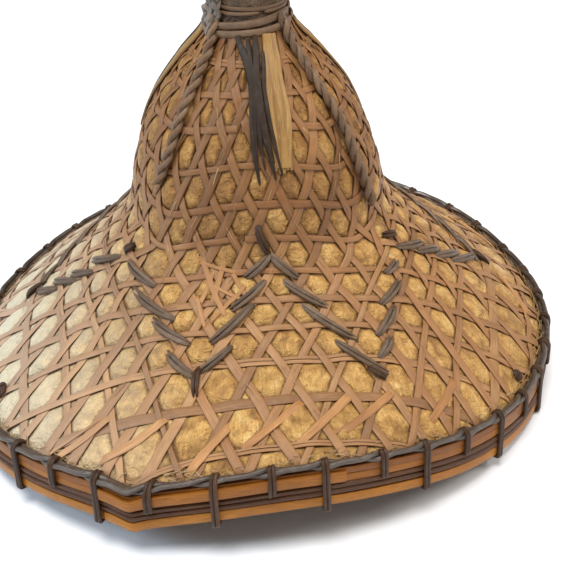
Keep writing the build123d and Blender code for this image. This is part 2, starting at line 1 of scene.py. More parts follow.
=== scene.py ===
"""A woven bamboo hat: every strip, cane, leaf sheet and hoop is modelled around the CAD frame.

The hat stands on the z axis, rim near z = 0 and tip on top, its front towards -Y. Shapes are
worked out in millimetres and turned to metres when a mesh is built. A place on the hat is given
by "down", its distance down the meridian from the neck, and "angle", its azimuth from the front,
growing towards +X. "height" is measured outwards from the hat's surface.
"""
import math

import bpy
import numpy as np
from mathutils import Matrix, Vector, kdtree


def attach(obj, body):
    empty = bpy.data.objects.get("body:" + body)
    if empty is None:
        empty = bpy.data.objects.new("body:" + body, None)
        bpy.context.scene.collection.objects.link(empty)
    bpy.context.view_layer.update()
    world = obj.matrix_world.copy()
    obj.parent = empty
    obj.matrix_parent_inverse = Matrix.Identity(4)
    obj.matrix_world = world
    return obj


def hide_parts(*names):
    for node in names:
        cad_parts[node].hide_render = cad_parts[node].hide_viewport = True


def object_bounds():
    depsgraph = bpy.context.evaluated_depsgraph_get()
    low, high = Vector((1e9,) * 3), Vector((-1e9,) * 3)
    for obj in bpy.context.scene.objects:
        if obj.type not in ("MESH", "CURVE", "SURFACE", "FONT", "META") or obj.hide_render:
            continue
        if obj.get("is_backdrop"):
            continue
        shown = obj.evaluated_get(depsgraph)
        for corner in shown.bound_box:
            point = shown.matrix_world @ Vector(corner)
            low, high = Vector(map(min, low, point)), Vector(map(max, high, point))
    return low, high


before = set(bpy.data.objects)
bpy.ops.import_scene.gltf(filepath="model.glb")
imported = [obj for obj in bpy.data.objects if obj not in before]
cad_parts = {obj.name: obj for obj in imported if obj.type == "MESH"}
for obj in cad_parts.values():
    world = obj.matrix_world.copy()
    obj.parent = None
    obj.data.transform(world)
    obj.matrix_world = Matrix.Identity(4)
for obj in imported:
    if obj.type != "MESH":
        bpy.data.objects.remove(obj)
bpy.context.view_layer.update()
MM = 0.001
TAU = 2 * math.pi

# ---------------------------------------------------------------- driving sizes (mm)
# The meridian from tip to brim: radius, z.
PROFILE = [
    (18.6, 296.0), (19.0, 283.5), (20.0, 262.5), (30.5, 241.5), (49.5, 220.5),
    (64.2, 199.5), (73.8, 178.5), (79.0, 157.5), (83.2, 136.5), (87.8, 120.8),
    (99.5, 106.0), (118.0, 90.0), (141.0, 71.6), (167.0, 53.2), (190.0, 37.9)]
BRIM_SLOPE = 0.70               # fall per mm outwards between the profile's end and the fold
RIM_R = 202.4
FOLD_R = 9.0                    # the brim folds down into the rim round this radius
FOLD_ANGLE = math.radians(54.5)
SHEET_Z = 4.0                   # lower edge of the woven sheet
NECK_Z = 292.0                  # upper edge of the woven sheet
LEAF_T = 0.8
STRIP_T = 0.55
OUTER_MID = 1.15                # mid height of each weave
INNER_MID = -1.95
RISE = 0.5                      # how far a strip rises or dips at a crossing
ON_TOP = 2.2                    # height that clears the outer weave


# ---------------------------------------------------------------- small helpers
def ease(t):
    return t * t * (3 - 2 * t)


def share(value, start, span):
    """0 up to start, 1 past start + span, straight in between."""
    return np.clip((value - start) / span, 0, 1)


def unit(vectors, tiny=1e-9):
    return vectors / (np.linalg.norm(vectors, axis=-1, keepdims=True) + tiny)


def square_to(vectors, along):
    """Unit vectors with the part along another direction taken out."""
    return unit(vectors - along * (vectors * along).sum(-1, keepdims=True))


def lengths(path):
    """Distance run at each point of a path."""
    return np.concatenate([[0], np.cumsum(np.linalg.norm(np.diff(path, axis=0), axis=1))])


def around(radius, angle, z):
    """Cylindrical to x, y, z."""
    x = radius * np.sin(angle)
    return np.stack([x, -radius * np.cos(angle), z + 0 * x], -1)


def smooth(values, reach):
    window = np.hanning(2 * reach + 3)[1:-1]
    window /= window.sum()
    padded = np.pad(values, reach, mode="reflect", reflect_type="odd")
    return np.convolve(padded, window, "valid")


def drift(count, feature, rng, amount=1.0):
    """Smooth random wander of count samples; feature is its length in samples."""
    knots = max(4, int(count / feature) + 3)
    x = np.linspace(0, knots - 1, count)
    y = rng.uniform(-1, 1, knots + 1)
    i = np.minimum(x.astype(int), knots - 1)
    t = ease(x - i)
    return amount * (y[i] * (1 - t) + y[i + 1] * t)


def catmull(points, step=1.0):
    """A Catmull-Rom curve through the points, sampled about every step."""
    out = []
    last = len(points) - 1
    for i in range(last):
        p0, p1, p2, p3 = points[max(i - 1, 0)], points[i], points[i + 1], points[min(i + 2, last)]
        count = max(2, int(math.dist(p1, p2) / step))
        for j in range(count):
            t = j / count
            out.append(tuple(
                0.5 * (2 * b + (c - a) * t + (2 * a - 5 * b + 4 * c - d) * t * t
                       + (3 * b - a - 3 * c + d) * t ** 3)
                for a, b, c, d in zip(p0, p1, p2, p3)))
    out.append(points[-1])
    return out


# ---------------------------------------------------------------- the hat's surface
def meridian():
    """Distance down, radius, z and the outward normal's radial and z parts."""
    points = catmull(PROFILE)
    end_r, end_z = PROFILE[-1]
    centre_r = RIM_R - FOLD_R
    fold_r = centre_r + FOLD_R * math.cos(FOLD_ANGLE)
    fold_z = end_z - (fold_r - end_r) * BRIM_SLOPE
    centre_z = fold_z - FOLD_R * math.sin(FOLD_ANGLE)
    step = (fold_r - end_r) / 4
    for _ in range(3):
        points.append((points[-1][0] + step, points[-1][1] - step * BRIM_SLOPE))
    for j in range(12):
        a = FOLD_ANGLE * (1 - j / 11)
        points.append((centre_r + FOLD_R * math.cos(a), centre_z + FOLD_R * math.sin(a)))
    z = centre_z - 1.0
    while z > SHEET_Z:
        points.append((RIM_R, z))
        z -= 1.0
    points.append((RIM_R, SHEET_Z))
    points = np.array([p for p in points if p[1] <= NECK_Z])
    down = np.concatenate([[0], np.cumsum(np.hypot(*np.diff(points, axis=0).T))])
    along = np.gradient(points, down, axis=0)
    along /= np.linalg.norm(along, axis=1)[:, None]
    kernel = np.ones(5) / 5
    normal_r = np.convolve(np.pad(-along[:, 1], 2, mode="edge"), kernel, "valid")
    normal_z = np.convolve(np.pad(along[:, 0], 2, mode="edge"), kernel, "valid")
    size = np.hypot(normal_r, normal_z)
    return down, points[:, 0], points[:, 1], normal_r / size, normal_z / size


CURVE_DOWN, CURVE_R, CURVE_Z, CURVE_NR, CURVE_NZ = meridian()
END = CURVE_DOWN[-1]
LOWEST = END - 0.5              # where the woven strips stop


def on_curve(down, height=0.0):
    """Radius and z."""
    return (np.interp(down, CURVE_DOWN, CURVE_R) + height * np.interp(down, CURVE_DOWN, CURVE_NR),
            np.interp(down, CURVE_DOWN, CURVE_Z) + height * np.interp(down, CURVE_DOWN, CURVE_NZ))


def down_at_z(z):
    return np.interp(-z, -CURVE_Z, CURVE_DOWN)


def down_at_r(radius):
    """Valid below z = 200, where the radius keeps growing."""
    i = int(np.argmax(CURVE_Z < 200))
    return float(np.interp(radius, CURVE_R[i:], CURVE_DOWN[i:]))


def place(down, angle, height):
    radius, z = on_curve(down, height)
    return around(radius, angle, z)


def normal(down, angle):
    return around(np.interp(down, CURVE_DOWN, CURVE_NR), angle,
                  np.interp(down, CURVE_DOWN, CURVE_NZ))


SADDLE = 12.0                   # front and back rims rise by this, the sides drop by it


def warp(points):
    """Handmade unevenness, the same for every piece."""
    x, y, z = points[..., 0], points[..., 1], points[..., 2]
    radius = np.hypot(x, y)
    angle = np.arctan2(x, -y)
    degrees = np.degrees(angle)
    brim = share(radius, 95, 115) ** 1.3
    edge = share(radius, 135, 70) ** 1.5
    # a bend in the rim at the front left, and a sharper crease within it
    bend = np.exp(-(np.abs(degrees + 23.5) / 8.0) ** 1.15) * share(radius, 150, 60) ** 1.5
    crease = np.exp(-np.abs(degrees + 22.6) / 4.5) * share(radius, 180, 28) ** 1.5
    swell = (4.5 * np.exp(-((degrees - 5) / 21) ** 2) - 7.0 * np.exp(-((degrees - 54) / 19) ** 2)
             - 3.0 * np.exp(-((degrees + 72) / 15) ** 2))
    widen = (1 - (0.0177 * np.sin(angle) + 0.0278 * np.sin(2 * angle)) * brim
             + 0.021 * bend + 0.012 * crease)
    ripple = (0.6 * np.sin(5 * angle + 1.1) + 0.5 * np.sin(9 * angle + 0.4)
              + 0.3 * np.sin(14 * angle + 2.0))
    lift = (SADDLE * np.cos(2 * angle) * brim + ripple * brim - 2.6 * bend - 3.4 * crease
            + swell * edge)
    crown = share(z, 110, 30) * np.clip((275 - z) / 40, 0, 1)
    slim = 1 + crown * (0.008 * np.sin(3 * angle + z * 0.03)
                        + 0.006 * np.sin(7 * angle - z * 0.05 + 1))
    slim = slim * np.interp(z, [150, 178, 199, 220, 241, 262, 292],
                            [1.0, 0.975, 0.955, 0.915, 0.90, 0.95, 0.97])
    return np.stack([x * widen * slim, y * widen * slim, z + lift], -1)


# ---------------------------------------------------------------- layout of the weave
# Rows are numbered down the hat; sector corners of the flat sheet lie on row 6 and below.
ROW_DOWN = ([float(down_at_z(z)) for z in (262.0, 245.5, 230.0, 215.5, 198.5, 177.5, 155.0, 133.5)]
            + [down_at_r(r) for r in (92.0, 105.5, 121.0, 138.5, 161.5, 190.0)] + [END + 6.0])
ROW_NUMBER = [i - 1.5 for i in range(14)] + [12.7]
PITCH = 2 / math.sqrt(3)        # between diagonals along a row, in rows
SIN_60 = 0.8660254
SECTORS = 4
PER_SECTOR = 6                  # diagonals of each hand in a sector
INNER_TURN = math.radians(7.5)


def down_at_row(row):
    """Distance down at a row number, by a monotone cubic through the rows."""
    given = np.asarray(row, float)
    x, y = np.array(ROW_NUMBER), np.array(ROW_DOWN)
    row = np.clip(given, x[0], x[-1])
    gap = np.diff(x)
    slope = np.diff(y) / gap
    tangent = np.concatenate([[slope[0]], 2 * slope[:-1] * slope[1:] / (slope[:-1] + slope[1:]),
                              [slope[-1]]])
    i = np.clip(np.searchsorted(x, row) - 1, 0, len(gap) - 1)
    t = (row - x[i]) / gap[i]
    down = (y[i] * (1 + 2 * t) * (1 - t) ** 2 + y[i + 1] * t * t * (3 - 2 * t)
            + tangent[i] * gap[i] * t * (1 - t) ** 2 + tangent[i + 1] * gap[i] * t * t * (t - 1))
    return down + (given - row) * 12.0


def droop(row, angle):
    """Rows run straight across each quarter of the hat, so they lie lower at its corners."""
    t = np.abs((np.degrees(angle) / 90.0 + 0.5) % 1.0 * 2 - 1)
    t = t - np.maximum(t - 0.8, 0) ** 2 / 0.4
    return row + np.maximum(row, 0) * (np.sqrt(1 + t * t / 3) - 1)


def brim_map(x, y, sector):
    """The flat sheet, x along and y away from the sector's rows, to down and angle."""
    reach = np.hypot(x, y)
    degrees = np.degrees(np.arctan2(x, y))
    side = np.round(degrees / 60.0)
    local = np.radians(degrees - 60.0 * side)
    blend = ease(share(reach * np.cos(local), 6.3, 2.6))
    spread = ((1 - blend) * np.tan(local) / math.tan(math.pi / 6)
              + blend * local / (math.pi / 6))
    angle = np.radians(90.0 * (sector + side) + 45.0 * spread)
    return down_at_row(reach), angle + 0.03 * blend * np.sin(4 * angle)


def resample(down, angle, step):
    """Evenly spaced down, angle and distance along."""
    run = lengths(place(down, angle, 0.0))
    count = max(4, int(round(run[-1] / step)) + 1)
    along = np.linspace(0, run[-1], count)
    return np.interp(along, run, down), np.interp(along, run, angle), along


def weave_paths(turn, step, rng):
    """Every strip of a layer as (kind, down, angle, distance along), diagonals first."""
    paths = []

    def add(kind, down, angle, soften=True):
        if soften:
            down, angle, _ = resample(down, angle, 1.5)
            down, angle = smooth(down, 9), smooth(angle, 9)
        count = len(down)
        shift = drift(count, 22, rng, 0.8)
        radius, _ = on_curve(down)
        angle = angle + drift(count, 22, rng, 0.9) / np.maximum(radius, 30)
        down, angle, along = resample(down + shift, angle, step)
        paths.append((kind, np.minimum(down, LOWEST), angle + turn, along))

    out = np.linspace(0, 16, 321)
    row = np.linspace(-0.9, 6, 140)[:-1]
    for sector in range(SECTORS):
        for m in range(PER_SECTOR):
            for hand in (1, -1):
                start = (m - 2.5) * PITCH
                down, angle = brim_map(start - hand * 0.5 * out, 6 + SIN_60 * out, sector)
                stop = int(np.argmax(down >= LOWEST)) + 1
                middle = math.radians(90.0 * sector + 15.0 * (m - 2.5))
                crown = middle + hand * np.radians(7.5) * (6 - row)
                down = np.concatenate([down_at_row(droop(row, crown)), down[:stop]])
                angle = np.concatenate([crown, angle[:stop]])
                keep = down >= down_at_z(250.0)
                add("right" if hand > 0 else "left", down[keep], angle[keep])
    for number in (0.5, 1.5, 2.5, 3.5, 4.5, 5.5):
        angle = 0.9 + 2.1 * number + np.radians(np.linspace(0, 357.0, 240))
        add("row", down_at_row(droop(number, angle)), angle, soften=False)
    for sector in range(SECTORS):
        for i in range(6, 12):
            x = np.linspace(-16, 16, 641)
            down, angle = brim_map(x, np.full(641, i + 0.5), sector)
            inside = np.where(down < LOWEST)[0]
            span = slice(inside[0], inside[-1] + 1)
            add("row", down[span], angle[span])
    return paths


def lies_over(slope1, slope2):
    """Row, falling and rising strips pass over one another in a cycle (slopes in degrees)."""
    def group(slope):
        return 0 if abs(slope) < 30 else (1 if slope < 0 else 2)
    group1, group2 = group(slope1), group(slope2)
    if group1 == group2:
        return abs(slope1) < abs(slope2) if group1 == 0 else abs(slope1) > abs(slope2)
    return (group2 - group1) % 3 == 1


def crossings(paths):
    """For each path its crossings, as sorted (distance along, +1 over or -1 under)."""
    flat, slopes = [], []
    for _, down, angle, _ in paths:
        flat.append(np.stack([(down + 20) * np.sin(angle), -(down + 20) * np.cos(angle)], -1))
        radius, _ = on_curve(down)
        slopes.append(np.degrees(np.arctan2(np.gradient(down), np.gradient(angle) * radius)))
    found = [[] for _ in paths]
    low = [f.min(0) for f in flat]
    high = [f.max(0) for f in flat]

    def note(path, piece, part, side):
        along = paths[path][3]
        found[path].append((float(along[piece] + part * (along[piece + 1] - along[piece])), side))

    for i in range(len(paths)):
        start1, step1 = flat[i][:-1, None], np.diff(flat[i], axis=0)[:, None]
        for j in range(i + 1, len(paths)):
            if (high[i] < low[j]).any() or (high[j] < low[i]).any():
                continue
            start2, step2 = flat[j][:-1], np.diff(flat[j], axis=0)[None]
            cross = step1[..., 0] * step2[..., 1] - step1[..., 1] * step2[..., 0]
            gap = start2[None] - start1
            # parallel pieces divide by zero and drop out of the test below
            with np.errstate(divide="ignore", invalid="ignore"):
                part1 = (gap[..., 0] * step2[..., 1] - gap[..., 1] * step2[..., 0]) / cross
                part2 = (gap[..., 0] * step1[..., 1] - gap[..., 1] * step1[..., 0]) / cross
            meet = (part1 >= 0) & (part1 < 1) & (part2 >= 0) & (part2 < 1)
            for x, y in np.argwhere(meet):
                slope1 = (slopes[i][x] + 90) % 180 - 90
                slope2 = (slopes[j][y] + 90) % 180 - 90
                side = 1 if lies_over(slope1, slope2) else -1
                note(i, x, part1[x, y], side)
                note(j, y, part2[x, y], -side)
    return [sorted(f) for f in found]


def rise(along, hits):
    """-1 to 1 along a strip as it passes under and over the others."""
    if not hits:
        return np.zeros_like(along)
    keep = [hits[0]]
    for hit in hits[1:]:
        if hit[0] - keep[-1][0] > 2.0:
            keep.append(hit)
    where = np.array([h[0] for h in keep])
    side = np.array([float(h[1]) for h in keep])
    if len(where) == 1:
        return np.full_like(along, side[0])
    i = np.clip(np.searchsorted(where, along) - 1, 0, len(where) - 2)
    gap = where[i + 1] - where[i]
    level = np.minimum(3.4, 0.3 * gap)
    t = ease(np.clip((along - where[i] - level) / np.maximum(gap - 2 * level, 1e-6), 0, 1))
    return side[i] * (1 - t) + side[i + 1] * t


# ---------------------------------------------------------------- mesh building
def lay_of(along, across, shade):
    """The layout the materials read: along (mm), across (-1 to 1) and a random shade."""
    return np.stack(np.broadcast_arrays(along, across, shade), -1)


class Parts:
    """Collects vertices, faces and layout, then builds them as one object."""

    def __init__(self):
        self.points, self.faces, self.lay, self.total = [], [], [], 0

    def add(self, points, faces, lay):
        self.points.append(points.reshape(-1, 3))
        self.faces.append(faces + self.total)
        self.lay.append(lay.reshape(-1, 3))
        self.total += len(self.points[-1])

    def build(self, name, material, slot, replaced=None, sharp=35.0):
        points = warp(np.concatenate(self.points)) * MM
        faces = np.concatenate(self.faces)
        triangle = faces[:, 3] == faces[:, 2]
        counts = np.where(triangle, 3, 4)
        used = np.ones(faces.shape, bool)
        used[:, 3] = ~triangle
        corners = faces[used]
        mesh = bpy.data.meshes.new(name)
        mesh.vertices.add(len(points))
        mesh.vertices.foreach_set("co", points.astype(np.float32).ravel())
        mesh.loops.add(len(corners))
        mesh.loops.foreach_set("vertex_index", corners.astype(np.int32))
        mesh.polygons.add(len(faces))
        starts = np.concatenate([[0], np.cumsum(counts)[:-1]])
        mesh.polygons.foreach_set("loop_start", starts.astype(np.int32))
        mesh.polygons.foreach_set("loop_total", counts.astype(np.int32))
        mesh.update(calc_edges=True)
        mesh.validate()
        mesh.polygons.foreach_set("use_smooth", [True] * len(mesh.polygons))
        mesh.set_sharp_from_angle(angle=math.radians(sharp))
        layout = mesh.attributes.new("lay", "FLOAT_VECTOR", "POINT")
        layout.data.foreach_set("vector", np.concatenate(self.lay).astype(np.float32).ravel())
        mesh.update()
        obj = link(name, mesh)
        mesh.materials.append(material)
        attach(obj, "root")
        if replaced:
            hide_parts(replaced)


def link(name, data):
    obj = bpy.data.objects.new(name, data)
    bpy.context.scene.collection.objects.link(obj)
    return obj


def ring(parts, points, lay, closed=False):
    """Joins rings of vertices (rings, sides, 3) into a tube, capped unless closed."""
    rings, sides = points.shape[:2]
    i = np.arange(rings if closed else rings - 1)[:, None]
    j = np.arange(sides)
    i2 = (i + 1) % rings
    j2 = (j + 1) % sides
    faces = [np.stack([i * sides + j, i * sides + j2, i2 * sides + j2, i2 * sides + j],
                      -1).reshape(-1, 4)]
    flat_points, flat_lay = points.reshape(-1, 3), lay.reshape(-1, 3)
    if not closed:
        tip = np.full(sides, len(flat_points))
        flat_points = np.concatenate([flat_points, points[0].mean(0)[None],
                                      points[-1].mean(0)[None]])
        flat_lay = np.concatenate([flat_lay, lay[0].mean(0)[None], lay[-1].mean(0)[None]])
        last = (rings - 1) * sides
        faces.append(np.stack([j2, j, tip, tip], -1))
        faces.append(np.stack([last + j, last + j2, tip + 1, tip + 1], -1))
    parts.add(flat_points, np.concatenate(faces), flat_lay)


def shell(parts, outside, inside, lay, upward=False):
    """A sheet with thickness, closed round the hat; upward if its rows run up the hat."""
    rows, cols = outside.shape[:2]
    total = rows * cols
    i = np.arange(rows - 1)[:, None] * cols
    j = np.arange(cols)
    j2 = (j + 1) % cols
    faces = np.stack([i + j, i + cols + j, i + cols + j2, i + j2], -1).reshape(-1, 4)
    first = np.stack([j, j2, j2 + total, j + total], -1)
    last = np.stack([j2, j, j + total, j2 + total], -1) + total - cols
    if upward:
        faces = faces[:, [0, 3, 2, 1]]
        first, last = first[:, [1, 0, 3, 2]], last[:, [1, 0, 3, 2]]
    parts.add(np.stack([outside, inside]), np.concatenate([faces, faces[:, ::-1] + total,
                                                           first, last]), np.stack([lay, lay]))


# Section of a split strip: across (half widths), up (thicknesses), 1 on the middle ridge.
SECTION = [(-1.0, -0.5, 0), (-1.0, 0.18, 0), (-0.86, 0.5, 0), (0.0, 0.5, 1),
           (0.86, 0.5, 0), (1.0, 0.18, 0), (1.0, -0.5, 0)]


def strip(parts, down, angle, height, width, thick, shade, curl=0.0, crown=0.1):
    """A split strip lying on the hat along its centre line."""
    centre = place(down, angle, 0.0)
    out = normal(down, angle)
    side = unit(np.cross(np.gradient(centre, axis=0), out))
    half = np.broadcast_to(np.asarray(width, float), (len(down),)) / 2
    along = lengths(centre)
    points, lay = [], []
    for across, up, ridge in SECTION:
        level = height + thick * up + ridge * crown + across * half * curl
        points.append(centre + side * (half * across)[:, None] + out * level[:, None])
        lay.append(lay_of(along, across, shade))
    ring(parts, np.stack(points, 1), np.stack(lay, 1))


def tube(parts, path, radius, shade, rng=None, up=None, flat=1.0, sides=8, closed=False,
         taper=0.0, lump=0.04):
    """A cane along a path; up is its thin direction, flat its thickness ratio."""
    count = len(path)
    if closed:
        along = np.roll(path, -1, 0) - np.roll(path, 1, 0)
    else:
        along = np.gradient(path, axis=0)
    along = unit(along)
    if up is None:
        up = np.zeros_like(path)
        start = np.array([0.0, 0.0, 1.0] if abs(along[0][2]) < 0.9 else [1.0, 0.0, 0.0])
        up[0] = square_to(start, along[0])
        for i in range(1, count):
            up[i] = square_to(up[i - 1], along[i])
    else:
        up = square_to(up, along)
    side = np.cross(along, up)
    radius = np.broadcast_to(np.asarray(radius, float), (count,))
    if taper:
        x = np.linspace(0, 1, count)
        radius = radius * np.clip(np.minimum(x, 1 - x) / taper, 0.0, 1) ** 0.5 * 0.999 + 0.06
    run = lengths(path)
    points, lay = [], []
    for k in range(sides):
        a = TAU * k / sides
        lumpy = radius * (1 + lump * drift(count, 9, rng)) if lump else radius
        points.append(path + side * (lumpy * math.cos(a))[:, None]
                      + up * (lumpy * flat * math.sin(a))[:, None])
        lay.append(lay_of(run, math.cos(a - 0.6), shade))
    ring(parts, np.stack(points, 1), np.stack(lay, 1), closed)


def two_strands(path, out, offset, turns, phase):
    """Centre lines of two strands twisted about a path."""
    along = unit(np.gradient(path, axis=0))
    out = square_to(out, along)
    side = np.cross(along, out)
    run = lengths(path)
    lines = []
    for k in range(2):
        a = phase + TAU * (turns * (run / run[-1]) + k / 2)
        lines.append(path + offset * (np.cos(a)[:, None] * out + np.sin(a)[:, None] * side))
    return lines


# ---------------------------------------------------------------- materials
BLACK, WHITE = (0, 0, 0), (1, 1, 1)
# Colours of the painted light on the -X side and of the painted shade on the crown.
PAINTED_LEFT_LIGHT_STRIP = (0.50, 0.375, 0.285)
PAINTED_LEFT_LIGHT_LEAF = (0.66, 0.60, 0.45)
PAINTED_CROWN_SHADE = (0.68, 0.60, 0.47)


def new_material(name):
    """Material, its node tree and its Principled shader."""
    material = bpy.data.materials.new(name)
    material.use_nodes = True
    return material, material.node_tree, material.node_tree.nodes["Principled BSDF"]


class Graph:
    """Small helper for building node graphs; each method returns an output socket."""

    def __init__(self, tree):
        self.tree = tree

    def put(self, socket, value):
        if isinstance(value, bpy.types.NodeSocket):
            self.tree.links.new(value, socket)
        else:
            socket.default_value = value

    def node(self, kind, inputs, out=0, **props):
        node = self.tree.nodes.new(kind)
        for key, value in props.items():
            setattr(node, key, value)
        for key, value in inputs.items():
            self.put(node.inputs[key], value)
        return node.outputs[out]

    def math(self, operation, a, b=0.0):
        return self.node("ShaderNodeMath", {0: a, 1: b}, operation=operation)

    def times(self, a, b):
        return self.math("MULTIPLY", a, b)

    def plus(self, a, b):
        return self.math("ADD", a, b)

    def noise(self, vector, scale, detail, rough, distortion=0.0):
        return self.node("ShaderNodeTexNoise", {
            "Vector": vector, "Scale": scale, "Detail": detail, "Roughness": rough,
            "Distortion": distortion})

    def remap(self, value, low, high, to_low=0.0, to_high=1.0):
        return self.node("ShaderNodeMapRange", {0: value, 1: low, 2: high, 3: to_low, 4: to_high})

    def ramp(self, value, stops):
        node = self.tree.nodes.new("ShaderNodeValToRGB")
        elements = node.color_ramp.elements
        while len(elements) < len(stops):
            elements.new(0.5)
        for element, (position, colour) in zip(elements, stops):
            element.position = position
            element.color = (*colour, 1.0)
        self.put(node.inputs["Fac"], value)
        return node.outputs["Color"]

    def mask(self, value, black, white, amount=None):
        """Black at one value and white at the other, scaled by amount."""
        out = self.ramp(value, sorted([(black, BLACK), (white, WHITE)]))
        return out if amount is None else self.times(out, amount)

    def mix(self, factor, a, b, mode="MIX"):
        node = self.tree.nodes.new("ShaderNodeMix")
        node.data_type = "RGBA"
        node.blend_type = mode
        node.clamp_factor = True
        self.put(node.inputs["Factor"], factor)
        for socket, value in ((node.inputs[6], a), (node.inputs[7], b)):
            self.put(socket, (*value, 1.0) if isinstance(value, tuple) else value)
        return node.outputs[2]

    def lay(self):
        """The three parts of the layout carried by the mesh."""
        node = self.tree.nodes.new("ShaderNodeAttribute")
        node.attribute_name = "lay"
        split = self.tree.nodes.new("ShaderNodeSeparateXYZ")
        self.tree.links.new(node.outputs["Vector"], split.inputs[0])
        return split.outputs[0], split.outputs[1], split.outputs[2]

    def vector(self, x, y, z):
        return self.node("ShaderNodeCombineXYZ", {0: x, 1: y, 2: z})

    def place(self):
        return self.node("ShaderNodeTexCoord", {}, "Object")

    def bump(self, height, strength, distance):
        return self.node("ShaderNodeBump", {"Strength": strength, "Distance": distance,
                                            "Height": height})

    def wavering(self, axis, scale, amount):
        """A coordinate with an uneven edge."""
        value = self.node("ShaderNodeSeparateXYZ", {0: self.place()}, axis)
        noise = self.noise(self.place(), scale, detail=3.0, rough=0.6)
        return self.plus(value, self.times(self.math("SUBTRACT", noise, 0.5), amount))

    def paint_left_light_and_crown_shade(self, colour, bleached, amount):
        """Painted light makes the hat paler towards -X, and painted shade darkens its crown."""
        left = self.times(self.remap(self.wavering(0, 22.0, 0.06), -0.055, -0.19), amount)
        colour = self.mix(left, colour, bleached)
        # painted shade: above about z = 0.10 to 0.15 m the colour is multiplied darker
        crown = self.remap(self.wavering(2, 14.0, 0.05), 0.100, 0.150)
        return self.mix(crown, colour, PAINTED_CROWN_SHADE, "MULTIPLY")


def fibrous(name, tones, streak, rough=(0.42, 0.62), edge=0.35, grain=1.0, bump=0.35,
            grey=0.0, left=0.0, spec=0.45, high=0.35):
    """Split bamboo or cane: tone by strip, long fibres, stained patches, darker edges, and a
    painted highlight on the lighter fibres.

    streak: dark fibres; rough: roughness range; edge: dark edges; grain: fibre density;
    grey: worn grey spots; left: painted light towards -X, which also turns on the painted shade on
    the crown; spec: specular; high: painted highlight on the light fibres.
    """
    material, tree, shader = new_material(name)
    g = Graph(tree)
    along, across, shade = g.lay()
    slow = g.times(along, 0.055 * grain)
    wide = g.plus(g.times(across, 5.5 * grain), g.times(shade, 61.0))
    fibre = g.noise(g.vector(slow, wide, g.times(shade, 13.0)), 1.0, detail=5.0, rough=0.68)
    fine = g.noise(g.vector(g.times(along, 0.16), g.times(wide, 3.1), shade), 1.0,
                   detail=3.0, rough=0.6)
    base = g.ramp(g.math("FRACT", g.times(shade, 7.31)),
                  [(i / (len(tones) - 1), tone) for i, tone in enumerate(tones)])
    dark = g.mix(0.8, base, (0.30, 0.22, 0.17), "MULTIPLY")
    # painted highlight: the lighter fibres (grain) get this warm light colour screened over them,
    # by the amount high
    light = g.mix(0.45, base, (0.95, 0.72, 0.42), "SCREEN")
    colour = g.mix(g.mask(fibre, black=0.36, white=0.56), g.mix(streak, base, dark), base)
    colour = g.mix(g.mask(fine, black=0.54, white=0.70, amount=high), colour, light)
    stain = g.noise(g.place(), 26.0, detail=4.0, rough=0.6)
    colour = g.mix(g.mask(stain, black=0.67, white=0.45, amount=0.42), colour, dark)
    rim = g.mask(g.math("ABSOLUTE", across), black=0.80, white=1.0, amount=edge)
    colour = g.mix(rim, colour, dark)
    # painted light towards -X, and painted shade on the crown
    if left:
        colour = g.paint_left_light_and_crown_shade(colour, PAINTED_LEFT_LIGHT_STRIP, left)
    if grey:
        worn = g.noise(g.place(), 210.0, detail=4.0, rough=0.7)
        colour = g.mix(g.mask(worn, black=0.52, white=0.70, amount=grey), colour,
                       (0.33, 0.30, 0.27))
    g.put(shader.inputs["Base Color"], colour)
    g.put(shader.inputs["Roughness"], g.remap(fibre, 0.3, 0.7, *rough))
    shader.inputs["Specular IOR Level"].default_value = spec
    relief = g.plus(g.times(fibre, 1.0), g.times(fine, 0.45))
    g.put(shader.inputs["Normal"], g.bump(relief, strength=bump, distance=0.0006))
    return material


